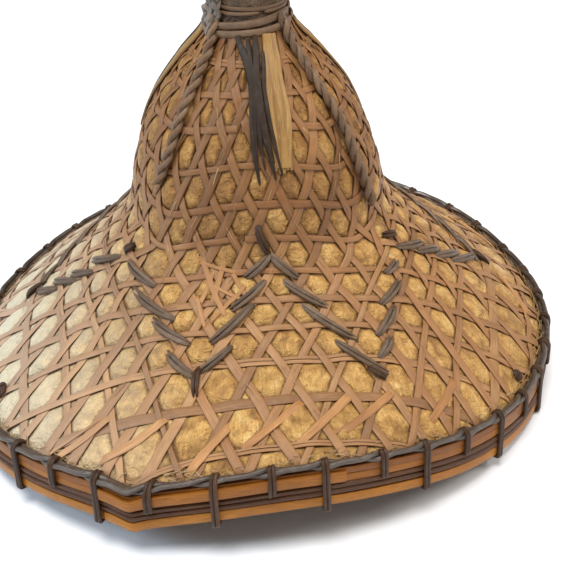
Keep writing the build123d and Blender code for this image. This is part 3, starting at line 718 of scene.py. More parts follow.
def leaf_material(name, tones, scale=1.0, left=0.0):
    """Dried leaf: veins running down the hat, mottling, crumpling. Tones: darkest to lightest,
    then a wide stain. The layout holds down (mm), turns round the hat and pillow height. Painted
    shade darkens the leaf where its pillow is low beside and under the strips, and the split is
    painted near black as a shadow."""
    material, tree, shader = new_material(name)
    g = Graph(tree)
    down, turns, pillow = g.lay()
    spot = g.place()
    vein = g.noise(g.vector(g.times(down, 0.05), g.times(turns, 900.0), 0.0), 1.0,
                   detail=3.0, rough=0.6, distortion=0.6)
    mottle = g.noise(spot, 62.0 * scale, detail=6.0, rough=0.66, distortion=0.8)
    speckle = g.noise(spot, 190.0 * scale, detail=5.0, rough=0.72, distortion=0.4)
    wide = g.noise(spot, 15.0, detail=3.0, rough=0.5)
    colour = g.ramp(mottle, list(zip((0.28, 0.44, 0.56, 0.74), tones)))
    colour = g.mix(g.mask(speckle, black=0.47, white=0.33, amount=0.55), colour, tones[0])
    colour = g.mix(g.mask(wide, black=0.50, white=0.72, amount=0.40), colour, tones[4])
    colour = g.mix(g.mask(vein, black=0.56, white=0.42, amount=0.25), colour, tones[0])
    # painted light towards -X, and painted shade on the crown
    if left:
        colour = g.paint_left_light_and_crown_shade(colour, PAINTED_LEFT_LIGHT_LEAF, left)
    # painted shade: colour the leaf is darkened towards where its pillow is low, beside and under
    # the strips
    red, green, blue = tones[0]
    low_pillow_shade = (red * 0.6, green * 0.52, blue * 0.45)
    colour = g.mix(g.mask(pillow, black=0.5, white=0.0, amount=0.78), colour, low_pillow_shade)
    # the split in the leaf is marked by a pillow height below zero and painted near black, as a
    # painted shadow inside the split
    split = g.math("GREATER_THAN", g.times(pillow, -1.0), 0.15)
    colour = g.mix(split, colour, (0.012, 0.007, 0.004))
    g.put(shader.inputs["Base Color"], colour)
    g.put(shader.inputs["Roughness"], g.remap(mottle, 0.3, 0.7, 0.60, 0.38))
    crumple = g.noise(spot, 105.0, detail=5.0, rough=0.62, distortion=1.6)
    creases = g.noise(spot, 150.0, detail=2.0, rough=0.5, distortion=1.0)
    fold = g.math("ABSOLUTE", g.math("SUBTRACT", creases, 0.5))
    crumple = g.math("SUBTRACT", crumple, g.times(fold, 1.2))
    relief = g.plus(g.times(crumple, 2.8), g.times(vein, 0.35))
    relief = g.plus(relief, g.times(speckle, 0.5))
    g.put(shader.inputs["Normal"], g.bump(relief, strength=0.9, distance=0.0012))
    shader.inputs["Specular IOR Level"].default_value = 0.45
    return material


M_STRIP = fibrous("split_bamboo_strip", [
    (0.36, 0.180, 0.070), (0.45, 0.235, 0.095), (0.29, 0.138, 0.050), (0.52, 0.290, 0.120),
    (0.38, 0.178, 0.064), (0.47, 0.255, 0.108)], streak=0.8, left=0.55, edge=0.5)
M_INNER = fibrous("inner_bamboo_strip", [
    (0.46, 0.30, 0.15), (0.52, 0.35, 0.19), (0.42, 0.26, 0.12)], streak=0.6)
M_LEAF = leaf_material("dried_leaf", [
    (0.175, 0.080, 0.020), (0.42, 0.222, 0.062), (0.61, 0.355, 0.108), (0.85, 0.60, 0.26),
    (0.36, 0.212, 0.054)], left=0.95)
M_NECK = leaf_material("dark_leaf_sheath", [
    (0.035, 0.018, 0.009), (0.075, 0.040, 0.020), (0.115, 0.066, 0.034), (0.16, 0.100, 0.055),
    (0.09, 0.052, 0.028)], scale=1.5)
M_HOOP = fibrous("polished_hoop_bamboo", [
    (0.36, 0.125, 0.004), (0.48, 0.185, 0.008), (0.25, 0.078, 0.003), (0.42, 0.150, 0.005)],
    streak=0.9, rough=(0.30, 0.50), grain=1.6, edge=0.7, high=0.22, spec=0.28)
M_DARK = fibrous("dark_rattan", [
    (0.070, 0.033, 0.015), (0.048, 0.024, 0.012), (0.098, 0.046, 0.021)],
    streak=0.6, rough=(0.32, 0.52), grey=0.08, edge=0.0, bump=0.5, spec=0.25, high=0.08)
M_EDGE = fibrous("edge_rattan", [
    (0.088, 0.059, 0.041), (0.064, 0.044, 0.032), (0.118, 0.080, 0.055)],
    streak=0.7, rough=(0.26, 0.46), grey=0.20, edge=0.0, bump=0.5, spec=0.7, high=0.12)
M_MID = fibrous("middle_cane", [
    (0.125, 0.046, 0.013), (0.088, 0.032, 0.010), (0.165, 0.064, 0.018)],
    streak=0.6, rough=(0.34, 0.55), grey=0.04, edge=0.0, bump=0.5, spec=0.3, high=0.08)
M_KNOT = fibrous("knot_cane", [
    (0.060, 0.018, 0.008), (0.042, 0.013, 0.006), (0.10, 0.032, 0.013)],
    streak=0.6, rough=(0.28, 0.48), edge=0.0, bump=0.5, spec=0.4, high=0.08)
M_GREY = fibrous("weathered_rattan", [
    (0.165, 0.104, 0.062), (0.118, 0.075, 0.046), (0.215, 0.142, 0.090)],
    streak=0.9, rough=(0.34, 0.54), grey=0.18, edge=0.0, bump=0.7, grain=0.7, high=0.12)
M_BROWN = fibrous("brown_rattan", [
    (0.225, 0.132, 0.070), (0.160, 0.092, 0.050), (0.30, 0.188, 0.105)],
    streak=0.9, rough=(0.38, 0.58), grey=0.12, edge=0.0, bump=0.7, grain=0.8, spec=0.4,
    high=0.15)
M_SLAT = fibrous("split_bamboo_slat", [(0.38, 0.215, 0.058), (0.42, 0.245, 0.072)],
                 streak=1.0, rough=(0.4, 0.6), grain=0.45)
M_SOOT = fibrous("blackened_cane", [
    (0.045, 0.028, 0.019), (0.028, 0.016, 0.010), (0.088, 0.048, 0.025)],
    streak=0.9, rough=(0.34, 0.54), grey=0.08, edge=0.0, bump=0.6, spec=0.25, grain=0.6,
    high=0.06)
M_PALE = fibrous("pale_strip", [
    (0.49, 0.235, 0.075), (0.54, 0.275, 0.095), (0.42, 0.195, 0.062)],
    streak=0.8, left=0.55, edge=0.45)
M_FRAY = fibrous("frayed_fibre", [
    (0.46, 0.30, 0.14), (0.34, 0.21, 0.095), (0.56, 0.39, 0.20)], streak=0.3, edge=0.0)
M_CORD = fibrous("grey_cord", [
    (0.22, 0.185, 0.16), (0.30, 0.26, 0.23), (0.12, 0.095, 0.08)],
    streak=0.6, grey=0.3, edge=0.0, bump=0.6)


# ---------------------------------------------------------------- woven layers
def weave(prefix, material, middle, turn, step, row_width, diagonal_width, seed, crown_sign):
    """Builds one layer of weave and returns its paths."""
    rng = np.random.default_rng(seed)
    paths = weave_paths(turn, step, rng)
    layers = {"row": Parts(), "right": Parts(), "left": Parts()}
    for (kind, down, angle, along), hits in zip(paths, crossings(paths)):
        is_row = kind == "row"
        radius, _ = on_curve(down)
        count = len(down)
        top = down.min()
        width = (row_width if is_row else diagonal_width) * (1 + 0.16 * rng.uniform(-1, 1))
        width = np.minimum(width, TAU * radius / 24 * 0.62)
        width = width * np.interp(radius, [60, 110, 150, 200], [0.92, 0.92, 1.04, 1.12])
        if is_row and 255 < top < 275:
            width = width * 1.15
        if is_row and 280 < top < 300:
            width = width * 1.35
        width = width * (1 + drift(count, 14, rng, 0.07))
        height = middle + RISE * rise(along, hits) + drift(count, 18, rng, 0.06)
        # some rows are laid as two narrower strips side by side
        if is_row and (255 < top < 275 or rng.uniform() < 0.12):
            for side, part in ((-1, 0.42), (1, 0.50)):
                shift = (1.25 + drift(count, 25, rng, 0.25)) * side * width / 5.0
                strip(layers[kind], down + shift, angle, height, width * part, STRIP_T,
                      rng.uniform(0, 1), drift(count, 16, rng, 0.08), 0.06 * crown_sign)
            continue
        strip(layers[kind], down, angle, height, width, STRIP_T,
              rng.uniform(0, 1), drift(count, 16, rng, 0.05), 0.10 * crown_sign)
    names = {"row": "_rows", "right": "_right_strips", "left": "_left_strips"}
    for kind, parts in layers.items():
        node = prefix + names[kind]
        parts.build(node + "_woven", material, "bamboo_strip", node)
    return paths


OUTER_PATHS = weave("outer_weave", M_STRIP, OUTER_MID, turn=0.0, step=1.7, row_width=4.5,
                    diagonal_width=5.6, seed=5, crown_sign=1)
weave("inner_weave", M_INNER, INNER_MID, turn=INNER_TURN, step=3.2, row_width=4.8,
      diagonal_width=6.0, seed=8, crown_sign=-1)

# ---------------------------------------------------------------- leaf lining between the weaves
LEAF_SEED = 3
LEAF_COLUMNS = 560
# A split in the leaf at the front left of the crown: down (mm) and azimuth (degrees).
SPLIT_DOWN = [112.0, 117.0, 121.0, 126.0, 132.0, 138.0]
SPLIT_DEG = [-32.6, -33.2, -31.6, -32.4, -32.0, -33.4]

strip_points = np.concatenate([place(down, angle, 0.0) for _, down, angle, _ in OUTER_PATHS])
STRIP_TREE = kdtree.KDTree(len(strip_points))
for i, point in enumerate(strip_points):
    STRIP_TREE.insert(point, i)
STRIP_TREE.balance()


def waves(points, seed, octaves, frequency):
    """Smooth noise in space from sine waves in random directions."""
    rng = np.random.default_rng(seed)
    out = np.zeros(points.shape[:-1])
    size = 1.0
    for _ in range(octaves):
        for _ in range(5):
            way = rng.normal(size=3)
            way /= np.linalg.norm(way)
            out += size * np.sin(points @ way * frequency * TAU * rng.uniform(0.6, 1.4)
                                 + rng.uniform(0, TAU)) / 3
        size *= 0.55
        frequency *= 2.1
    return out


def leaf(node, start, end, step):
    """A leaf sheet, pressed out through the openings of the outer weave."""
    down, angle = np.meshgrid(np.linspace(start, end, int((end - start) / step) + 1),
                              np.linspace(0, TAU, LEAF_COLUMNS, endpoint=False), indexing="ij")
    base = place(down, angle, 0.0)
    distance = np.array([STRIP_TREE.find(Vector(p))[2] for p in base.reshape(-1, 3)])
    pillow = ease(share(distance.reshape(down.shape), 2.0, 4.4))
    fade = np.clip((END - 26 - down) / 18, 0, 1) * share(down, 55, 12)
    crumple = waves(base, LEAF_SEED, 4, 0.045)
    height = ((2.0 + 0.6 * waves(base, LEAF_SEED + 1, 1, 0.02)) * pillow * fade
              + 0.38 * crumple * (0.10 + 0.90 * pillow) * fade)
    height = np.maximum(height, -0.02)
    radius, _ = on_curve(down)
    degrees = np.degrees(angle + np.pi) % 360 - 180
    gap = np.abs(degrees - np.interp(down, SPLIT_DOWN, SPLIT_DEG)) * np.pi / 180 * radius
    half = np.interp(down, [111.0, 114.0, 124.0, 134.0, 139.0], [0.0, 0.8, 1.2, 0.7, 0.0])
    cut = np.clip((half + 0.5 - gap) / 0.6, 0, 1) * (half > 0)
    height = height - 2.6 * cut
    # a pillow below zero marks the split, which the leaf material paints near black as shadow
    pillow = pillow * (1 - cut) - 0.6 * cut
    inner = np.minimum(height, 0.0) - LEAF_T + 0.75 * np.maximum(height, 0.0)
    parts = Parts()
    shell(parts, place(down, angle, height - 0.02), place(down, angle, inner),
          lay_of(down, angle / TAU, pillow))
    parts.build(node + "_sheet", M_LEAF, "leaf", node, sharp=60)


LEAF_JOINT = float(down_at_z(119.0)) + 3.0
leaf("leaf_lining_crown", 0.5, LEAF_JOINT, step=1.1)
leaf("leaf_lining_brim", LEAF_JOINT, END - 0.6, step=1.35)

# ---------------------------------------------------------------- rim hoops
HOOP_IN = 204.7
HOOP_OUT = HOOP_IN + 3.6
INNER_HOOP_IN = 196.2


def hoop(parts, rng, start, end, count, r_in, r_out, low, high, shade, uneven=0.35):
    """A split bamboo hoop of rounded rectangular section, from start to end degrees."""
    angle = np.radians(np.linspace(start, end, count))
    soft = min(0.7, (r_out - r_in) * 0.3)
    section = [
        (r_in, low + soft * .5), (r_in + soft * .5, low), (r_out - soft, low),
        (r_out - soft * .3, low + soft * .3), (r_out, low + soft),
        (r_out + 0.25, (low + high) / 2), (r_out, high - soft),
        (r_out - soft * .3, high - soft * .3), (r_out - soft, high),
        (r_in + soft * .5, high), (r_in, high - soft * .5)]
    swell, lift = drift(count, 20, rng, uneven), drift(count, 24, rng, uneven)
    points, lay = [], []
    for radius, z in section:
        grow = np.maximum(0, swell) if radius > r_in + 0.8 else 0.0
        # the lowest hoop keeps its underside level
        shift = lift if low > 2 else np.maximum(lift, 0) * (z > low + 2)
        points.append(around(radius + grow, angle, z + shift))
        lay.append(lay_of(angle * r_out, 2 * (z - low) / (high - low) - 1, shade))
    ring(parts, np.stack(points, 1)[:, ::-1], np.stack(lay, 1)[:, ::-1])


# CAD node, name ending, then its hoops: start and end degrees, samples, inner and outer
# radius, low and high z, shade, unevenness where it is not the usual.
RIM_HOOPS = [
    ("lower_rim_hoop", "_split", [(-28, 331.5, 400, HOOP_IN, HOOP_OUT - 0.3, 0.2, 7.2, 0.31)]),
    ("upper_rim_hoop", "_split", [
        (-150, 209.5, 400, HOOP_IN, HOOP_OUT - 0.4, 16.4, 22.2, 0.12),
        (-90, 269.5, 400, HOOP_IN + 0.1, HOOP_OUT, 22.0, 27.0, 0.78)]),
    ("rim_hoop_splice", "_strip", [
        (-28.5, 12, 90, HOOP_OUT + 0.25, HOOP_OUT + 1.9, 17.6, 25.6, 0.55, 0.2)]),
    ("inner_rim_hoop", "_split", [(20, 379.5, 300, INNER_HOOP_IN, 198.6, 3.0, 24.0, 0.4)])]
rng = np.random.default_rng(31)
for node, ending, hoops in RIM_HOOPS:
    parts = Parts()
    for sizes in hoops:
        hoop(parts, rng, *sizes)
    parts.build(node + ending, M_HOOP, "hoop_bamboo", node)

# ---------------------------------------------------------------- canes round the rim
LASH_COUNT = 19
LASH_FIRST = -9.8               # degrees
LONG_LASHES = [(LASH_FIRST + 360 / LASH_COUNT * k + 180) % 360 - 180 for k in range(LASH_COUNT)]
SHORT_LASHES = [(a + 180 / LASH_COUNT + 180) % 360 - 180 for a in LONG_LASHES]


def twisted_ring(parts, radius, z, strand_r, offset, turns, shades, step_from=None):
    """Twisted strands round the rim; given step_from (radians), they twist in steps."""
    angle = np.linspace(0, TAU, 1400, endpoint=False)
    middle = around(radius, angle, z)
    out = around(1.0, angle, 0.0)
    up = np.array([0, 0, 1.0])
    for k, shade in enumerate(shades):
        share_of_turn = TAU * k / len(shades)
        if step_from is None:
            a = turns * angle + share_of_turn + 0.5 * np.sin(3 * angle + k)
        else:
            x = (angle - step_from) / (math.pi / turns)
            t = share(x - np.floor(x), 0.16, 0.68)
            a = math.pi * (np.floor(x) + 0.25 * t + 0.75 * ease(t)) + share_of_turn + 0.6
        path = middle + offset * (np.cos(a)[:, None] * out + np.sin(a)[:, None] * up)
        tube(parts, path, strand_r * (1 + 0.08 * np.sin(angle * 11 + k)), shade, up=out,
             sides=9, closed=True, lump=0.0)


parts = Parts()
twisted_ring(parts, 206.7, 30.2, strand_r=1.95, offset=1.75, turns=LASH_COUNT,
             shades=[0.22, 0.71], step_from=math.radians(LASH_FIRST + 4.0))
parts.build("edge_cane_twist", M_EDGE, "dark_cane", "edge_cane")
parts = Parts()
twisted_ring(parts, 206.9, 9.8, strand_r=2.0, offset=0.25, turns=7, shades=[0.35])
twisted_ring(parts, 206.9, 13.9, strand_r=2.0, offset=0.3, turns=5, shades=[0.63])
parts.build("middle_rim_canes_pair", M_MID, "dark_cane", "middle_rim_canes")


# ---------------------------------------------------------------- rim lashings
def rounded(outline, radius):
    """A closed outline with its corners rounded."""
    outline = [np.array(p, float) for p in outline]
    out = []
    for i, corner in enumerate(outline):
        back, ahead = outline[i - 1] - corner, outline[(i + 1) % len(outline)] - corner
        back_len, ahead_len = np.linalg.norm(back), np.linalg.norm(ahead)
        cut = min(radius, back_len * 0.49, ahead_len * 0.49)
        start, end = corner + back / back_len * cut, corner + ahead / ahead_len * cut
        for t in np.linspace(0, 1, 5):
            out.append((1 - t) ** 2 * start + 2 * t * (1 - t) * corner + t * t * end)
    return np.array(out)


def lash(parts, degrees, low, rng):
    """A double turn of cane over the rim, reaching down to z = low."""
    over_splice = -29 < degrees < 12.5
    outer = HOOP_OUT + (2.6 if over_splice else 0.75) + 0.9
    inner = INNER_HOOP_IN - 1.4
    sparse = rounded([(outer, low), (outer + 0.1, 26.5), (210.0, 30.6), (207.2, 33.9),
                      (203.9, 32.9), (201.4, 27.8), (inner + 0.6, 26.0), (inner, low)], 1.9)
    gaps = np.linalg.norm(np.roll(sparse, -1, 0) - sparse, axis=1)
    sparse = sparse[np.concatenate([[True], gaps[:-1] > 0.15])]
    loop = []
    for i, start in enumerate(sparse):
        step = sparse[(i + 1) % len(sparse)] - start
        count = max(1, int(np.linalg.norm(step) / 2.0))
        loop += [start + step * t / count for t in range(count)]
    loop = np.array(loop)
    shade = rng.uniform(0, 1)
    lean = rng.uniform(-1.2, 1.2)
    sway = lean * np.sin(np.linspace(0, TAU, len(loop))) * 0.6
    for k, (shift, lift) in enumerate(((-1.15, -0.1), (1.15, 0.15))):
        angle = math.radians(degrees) + (shift + sway) / 208
        path = around(loop[:, 0], angle, loop[:, 1] + lift)
        tube(parts, path, 1.32 + 0.08 * rng.uniform(-1, 1), shade + 0.1 * k, rng,
             closed=True, lump=0.03)


rng = np.random.default_rng(51)
for node, places, low in (("long_rim_lashings", LONG_LASHES, -1.2),
                          ("short_rim_lashings", SHORT_LASHES, 15.4)):
    parts = Parts()
    for degrees in places:
        lash(parts, degrees + rng.uniform(-0.6, 0.6), low, rng)
    parts.build(node + "_cane", M_DARK, "dark_cane", node)

# ---------------------------------------------------------------- zigzag stitching
# Each stitch: start degrees, start down (mm), end degrees, end down (mm).
FRONT_STITCHES = [
    (2.7, 187.1, -5.8, 199.8), (0.1, 204.1, -10.0, 221.7), (-4.5, 220.2, -14.6, 244.2),
    (-9.8, 248.5, -16.1, 265.1), (-17.9, 268.9, -25.9, 256.4), (-22.0, 247.4, -34.2, 237.5),
    (-29.2, 232.9, -47.1, 223.4), (-41.2, 215.7, -56.9, 210.6), (-64.7, 212.7, -76.6, 229.1),
    (-71.6, 233.6, -80.8, 248.2), (-76.0, 247.6, -86.4, 265.0), (-81.7, 264.5, -88.1, 279.9),
    (4.3, 187.4, 12.5, 202.5), (8.4, 205.5, 19.5, 225.9), (13.3, 224.6, 24.2, 252.1),
    (19.5, 253.4, 28.0, 280.9), (28.7, 270.1, 34.2, 260.3), (31.6, 254.8, 40.7, 242.9),
    (38.3, 236.7, 48.8, 229.9), (47.0, 220.7, 54.4, 217.9), (61.5, 213.1, 74.4, 225.1),
    (68.9, 226.0, 79.0, 238.6), (74.9, 239.7, 86.6, 256.8), (80.5, 254.3, 94.2, 276.7)]
# Corners of the zigzag round the back: degrees, down (mm).
BACK_ZIGZAG = [(-90.0, 281.0), (-120.0, 204.0), (-150.0, 279.0), (180.0, 204.0),
               (150.0, 280.0), (120.0, 204.0), (93.0, 278.0)]
BACK_STITCHES = 5               # in each leg of the zigzag
BACK_SKEW = 1.44                # degrees each stitch is turned at its ends
END_STITCHES = [
    (-16.8, 264.5, -16.1, 281.5), (-0.6, 168.3, 2.8, 184.5), (24.6, 275.5, 27.0, 285.0),
    (-63.0, 206.0, -60.0, 199.0), (64.0, 204.0, 58.0, 199.5), (-90.5, 276.0, -91.0, 292.0),
    (94.0, 272.0, 94.6, 290.0), (-150.0, 275.0, -150.0, 291.0), (150.0, 275.0, 150.5, 291.0),
    (-119.0, 186.0, -120.5, 201.0), (179.0, 186.0, 180.5, 201.0), (121.0, 186.0, 119.0, 201.0)]


def stitch(parts, ends, rng, radius=1.45, lift=3.3, gap=1.45):
    """Two canes side by side bowed over the weave, and a third crossing beneath them."""
    start_deg, start_down, end_deg, end_down = ends
    count = 22
    t = np.linspace(-0.12, 1.12, count)
    x = np.linspace(0, 1, count)
    angle = np.radians(start_deg + (end_deg - start_deg) * t)
    down = start_down + (end_down - start_down) * t
    base = place(down, angle, 0.0)
    out = normal(down, angle)
    side = unit(np.cross(np.gradient(base, axis=0), out), 0.0)
    bow = np.sin(math.pi * x) ** 0.45
    twist = rng.uniform(-0.5, 0.5)
    shade = rng.uniform(0, 1)
    curve = rng.uniform(0.4, 1.1) * np.sin(math.pi * x) * (1 if end_deg > start_deg else -1)
    thin = np.interp(x, [0, 0.18, 0.7, 1.0], [0.62, 1.0, 0.95, 0.40])
    for k, hand in enumerate((-1, 1, 0)):
        if hand == 0:
            across = gap * (x - 0.5) * 2.2 + curve
            height = 0.1 + (lift - 1.9) * bow
        else:
            across = (gap * hand * (0.30 + 0.70 * bow) * np.cos((x - 0.5) * twist)
                      + 0.5 * (x - 0.5) * hand + curve)
            height = 0.2 + lift * bow + hand * 0.45 * np.sin((x - 0.5) * 2.6)
        path = base + side * across[:, None] + out * height[:, None]
        tube(parts, path, radius * thin * rng.uniform(0.9, 1.1), shade + 0.07 * k, rng, up=out,
             flat=0.85, taper=0.04, lump=0.07)


rng = np.random.default_rng(61)
parts = Parts()
for ends in FRONT_STITCHES:
    stitch(parts, ends, rng)
for (deg0, down0), (deg1, down1) in zip(BACK_ZIGZAG, BACK_ZIGZAG[1:]):
    if deg1 > deg0:             # passing the back, where azimuths wrap
        deg1 -= 360
    for k in range(BACK_STITCHES):
        t0, t1 = (k + 0.04) / BACK_STITCHES, (k + 0.96) / BACK_STITCHES
        stitch(parts, (deg0 + (deg1 - deg0) * t0 + BACK_SKEW + rng.uniform(-1, 1),
                       down0 + (down1 - down0) * t0,
                       deg0 + (deg1 - deg0) * t1 - BACK_SKEW + rng.uniform(-1, 1),
                       down0 + (down1 - down0) * t1), rng)
parts.build("zigzag_stitches_cane", M_GREY, "grey_cane", "zigzag_stitches")
parts = Parts()
for ends in END_STITCHES:
    stitch(parts, ends, rng, radius=1.35, lift=4.6, gap=1.2)
parts.build("zigzag_end_stitches_cane", M_DARK, "grey_cane", "zigzag_end_stitches")

# ---------------------------------------------------------------- crown ribs
# Each rib: pitch of its wrapping (mm), then knots of degrees and down (mm).
RIBS = [
    (20.0, [(-52.0, 38.0), (-47.8, 49.7), (-44.3, 66.1), (-43.7, 78.9), (-44.3, 91.5),
            (-44.9, 103.8), (-45.1, 120.5), (-46.1, 131.5), (-49.5, 149.6)]),
    (19.0, [(48.0, 38.0), (47.2, 54.3), (46.9, 66.3), (46.1, 79.9), (48.1, 96.4),
            (49.6, 108.5), (50.7, 123.9), (51.3, 140.2), (53.4, 154.4), (55.1, 174.0)]),
    (20.0, [(180.0, 40.0), (181.0, 90.0), (179.0, 130.0), (180.5, 170.0)])]


def rib_path(knots, height, count):
    """Path, normals, down and angle through (degrees, down) knots."""
    degrees, stations = np.array(knots, float).T
    down = np.linspace(stations[0], stations[-1], count)
    angle = smooth(np.radians(np.interp(down, stations, degrees)), 5)
    return place(down, angle, height), normal(down, angle), down, angle


rng = np.random.default_rng(71)
cores, coils = Parts(), Parts()
for pitch, knots in RIBS:
    core, out, down, angle = rib_path(knots, ON_TOP + 3.0, 260)
    tube(cores, core, 1.9, rng.uniform(0, 1), rng, up=out, taper=0.02)
    fine_down = np.linspace(down[0], down[-1], 900)
    fine_angle = np.interp(fine_down, down, angle)
    for strand in two_strands(place(fine_down, fine_angle, ON_TOP + 3.2),
                              normal(fine_down, fine_angle), 1.7, lengths(core)[-1] / pitch,
                              rng.uniform(0, TAU)):
        tube(coils, strand, 1.95, rng.uniform(0, 1), rng, taper=0.012, lump=0.07)
cores.build("wrapped_rib_cores_cane", M_DARK, "dark_cane", "wrapped_rib_cores")
coils.build("rib_wrapping_coil", M_BROWN, "brown_cane", "rib_wrapping")

# ---------------------------------------------------------------- crown slats and side canes
# Each slat: azimuth (degrees), hand, lower end (mm down), scale of its side canes.
SLATS = [(0.0, 1, 132.5, 1.0), (-113.0, 1, 134.0, 0.75), (121.0, -1, 134.0, 0.75)]
# The two edges of a slat: down (mm), degrees.
SLAT_NEAR = ([43, 51.1, 75.2, 94.3, 110.6, 131.7], [15.5, 13.8, 9.1, 7.2, 7.0, 8.4])
SLAT_FAR = ([43, 52.0, 77.4, 96.8, 112.7, 132.8], [36.0, 33.1, 24.6, 22.6, 20.1, 16.9])
# Canes beside a slat: radius (mm), then knots of degrees and down (mm).
SIDE_CANES = [
    (2.4, [(-15.0, 49.5), (-13.2, 53.0), (-4.2, 66.1), (-0.3, 80.9), (-0.6, 98.5),
           (-0.8, 121.1), (1.0, 142.0)]),
    (2.4, [(6.2, 49.5), (6.0, 52.0), (3.6, 75.2), (4.4, 98.8), (6.2, 119.4), (8.4, 139.5)]),
    (1.6, [(-3.0, 50.0), (-2.0, 60.0), (0.8, 75.0), (2.0, 97.0), (2.6, 119.0), (3.9, 133.5)]),
    (1.5, [(12.0, 60.6), (7.8, 84.4), (8.4, 105.9), (9.6, 120.0), (11.4, 137.0)])]


def slat(parts, base_deg, hand, end, rng):
    count = 60
    down = np.linspace(49.5, end, count)
    near = smooth(np.interp(down, *SLAT_NEAR), 5)
    far = smooth(np.interp(down, *SLAT_FAR), 5)
    radius, _ = on_curve(down)
    angle = np.radians(base_deg + hand * (near + far) / 2)
    width = np.radians(far - near) * radius * (1 + drift(count, 12, rng, 0.03))
    strip(parts, down, angle, ON_TOP + 1.0 + drift(count, 20, rng, 0.2), width * 0.96, 1.4,
          rng.uniform(0, 1), curl=drift(count, 30, rng, 0.04), crown=0.5)
    for k in range(5):          # ragged tongues at the lower end
        across = -0.42 + 0.21 * k
        t = np.linspace(0, 1, 8)
        tongue_angle = np.full(8, angle[-1]) + hand * across * width[-1] / radius[-1]
        strip(parts, 129.5 + t * rng.uniform(3.0, 6.5), tongue_angle, ON_TOP + 1.0 - 0.4 * t,
              rng.uniform(3.0, 4.2) * (1 - 0.6 * t), 1.0, rng.uniform(0, 1))


def side_canes(parts, base_deg, hand, scale, rng):
    thin = np.interp(np.linspace(0, 1, 120), [0, 0.1, 0.75, 1], [0.7, 1, 0.95, 0.25])
    for radius, knots in SIDE_CANES:
        turned = [(base_deg + hand * degrees, down) for degrees, down in knots]
        path, out, _, _ = rib_path(turned, ON_TOP + 2.0, 120)
        tube(parts, path, radius * scale * thin, rng.uniform(0, 1), rng, up=out, flat=0.6,
             sides=10, taper=0.01)


slats, canes = Parts(), Parts()
for base_deg, hand, end, scale in SLATS:
    slat(slats, base_deg, hand, end, rng)
    side_canes(canes, base_deg, hand, scale, rng)
slats.build("crown_slats_split", M_SLAT, "slat_bamboo", "crown_slats")
canes.build("slat_side_canes_split", M_SOOT, "grey_cane", "slat_side_canes")

# ---------------------------------------------------------------- neck and tip
rng = np.random.default_rng(81)
TIP_PROFILE = [                 # radius, z, from the top down
    (0.02, 307.0), (5.0, 306.4), (10.5, 304.2), (14.5, 300.6), (16.6, 296.5), (16.4, 293.6),
    (15.4, 291.0), (15.2, 282.0), (14.8, 276.0), (0.02, 275.5)]


def neck_collar():
    z, angle = np.meshgrid(np.linspace(247.0, 291.0, 40),
                           np.linspace(0, TAU, 120, endpoint=False), indexing="ij")
    fitted = [on_curve(down_at_z(at), height)[0]
              for at, height in ((247, 2.4), (252, 3.0), (258, 3.2))]
    radius = np.interp(z, [247, 252, 258, 270, 283, 291], fitted + [22.8, 22.2, 21.0])
    radius = (radius + 0.35 * np.sin(9 * angle + z * 0.12) + 0.25 * np.sin(17 * angle - z * 0.2)
              + 0.2 * np.sin(5 * angle + z * 0.3))
    parts = Parts()
    shell(parts, around(radius, angle, z), around(radius - 1.2, angle, z),
          lay_of(z, angle / TAU, 0.7), upward=True)
    parts.build("neck_collar_sheath", M_NECK, "neck_leaf", "neck_collar_band", sharp=50)


def loop_round(parts, z, height, radius, tilt, start, shade, flat):
    """A cane round the neck, tilted so it is highest at the azimuth start (radians)."""
    count = 160
    angle = np.linspace(0, TAU - math.radians(6.0), count) + start
    level = z + tilt * np.cos(angle - start) + drift(count, 24, rng, 0.25)
    path = place(down_at_z(level), angle, height)
    path[:, 2] = level
    tube(parts, path, radius, shade, rng, up=around(1.0, angle, 0.0), flat=flat, sides=9,
         taper=0.02, lump=0.05)


def tip_plug():
    profile = np.array(catmull(TIP_PROFILE, 1.5))
    radius, z = profile[:, :1], profile[:, 1:]
    angle = np.linspace(0, TAU, 96, endpoint=False)
    points = around(radius, angle, z + 0.5 * np.sin(6 * angle) * (radius / 17))
    points = points * (1 + 0.03 * np.sin(8 * angle + 1)[None, :, None] * np.array([1, 1, 0]))
    parts = Parts()
    ring(parts, points, lay_of(z, np.sin(angle * 5), 0.4))
    parts.build("tip_plug_knob", M_SLAT, "hoop_bamboo", "tip_plug")


# Loops round the neck: z, height, radius, tilt, start (radians), shade, flatness.
NECK_WRAPS = [(257.6, 4.2, 1.15, 0.5, 0.4, 0.3, 0.8), (260.2, 4.0, 1.25, -0.6, 1.9, 0.6, 0.8),
              (275.5, 3.4, 1.3, 0.8, 4.1, 0.2, 0.8)]
NECK_STRAP = [(251.6, 4.9, 2.5, 3.2, math.radians(82), 0.45, 0.5),
              (246.4, 4.4, 2.4, 2.2, math.radians(82), 0.1, 0.5)]

neck_collar()
for node, loops in (("neck_wraps", NECK_WRAPS), ("neck_strap", NECK_STRAP)):
    parts = Parts()
    for sizes in loops:
        loop_round(parts, *sizes)
    parts.build(node + "_cane", M_BROWN, "brown_cane", node)
tip_plug()
parts = Parts()
for k, z in enumerate((280.0, 283.4, 286.8, 290.0)):
    loop_round(parts, z, 3.6, 1.75, 0.5 * (-1) ** k, k * 1.7, rng.uniform(0, 1), flat=0.9)
parts.build("tip_wraps_cane", M_DARK, "dark_cane", "tip_wraps")

# ---------------------------------------------------------------- cords up the neck, and knots
# Cords: degrees, lower z, upper z, size.
NECK_CORDS = [(-48, 246, 287, 1.9), (-60, 240, 284, 1.7), (-72, 244, 287, 1.6),
              (180, 244, 286, 1.9), (-100, 243, 285, 1.6)]
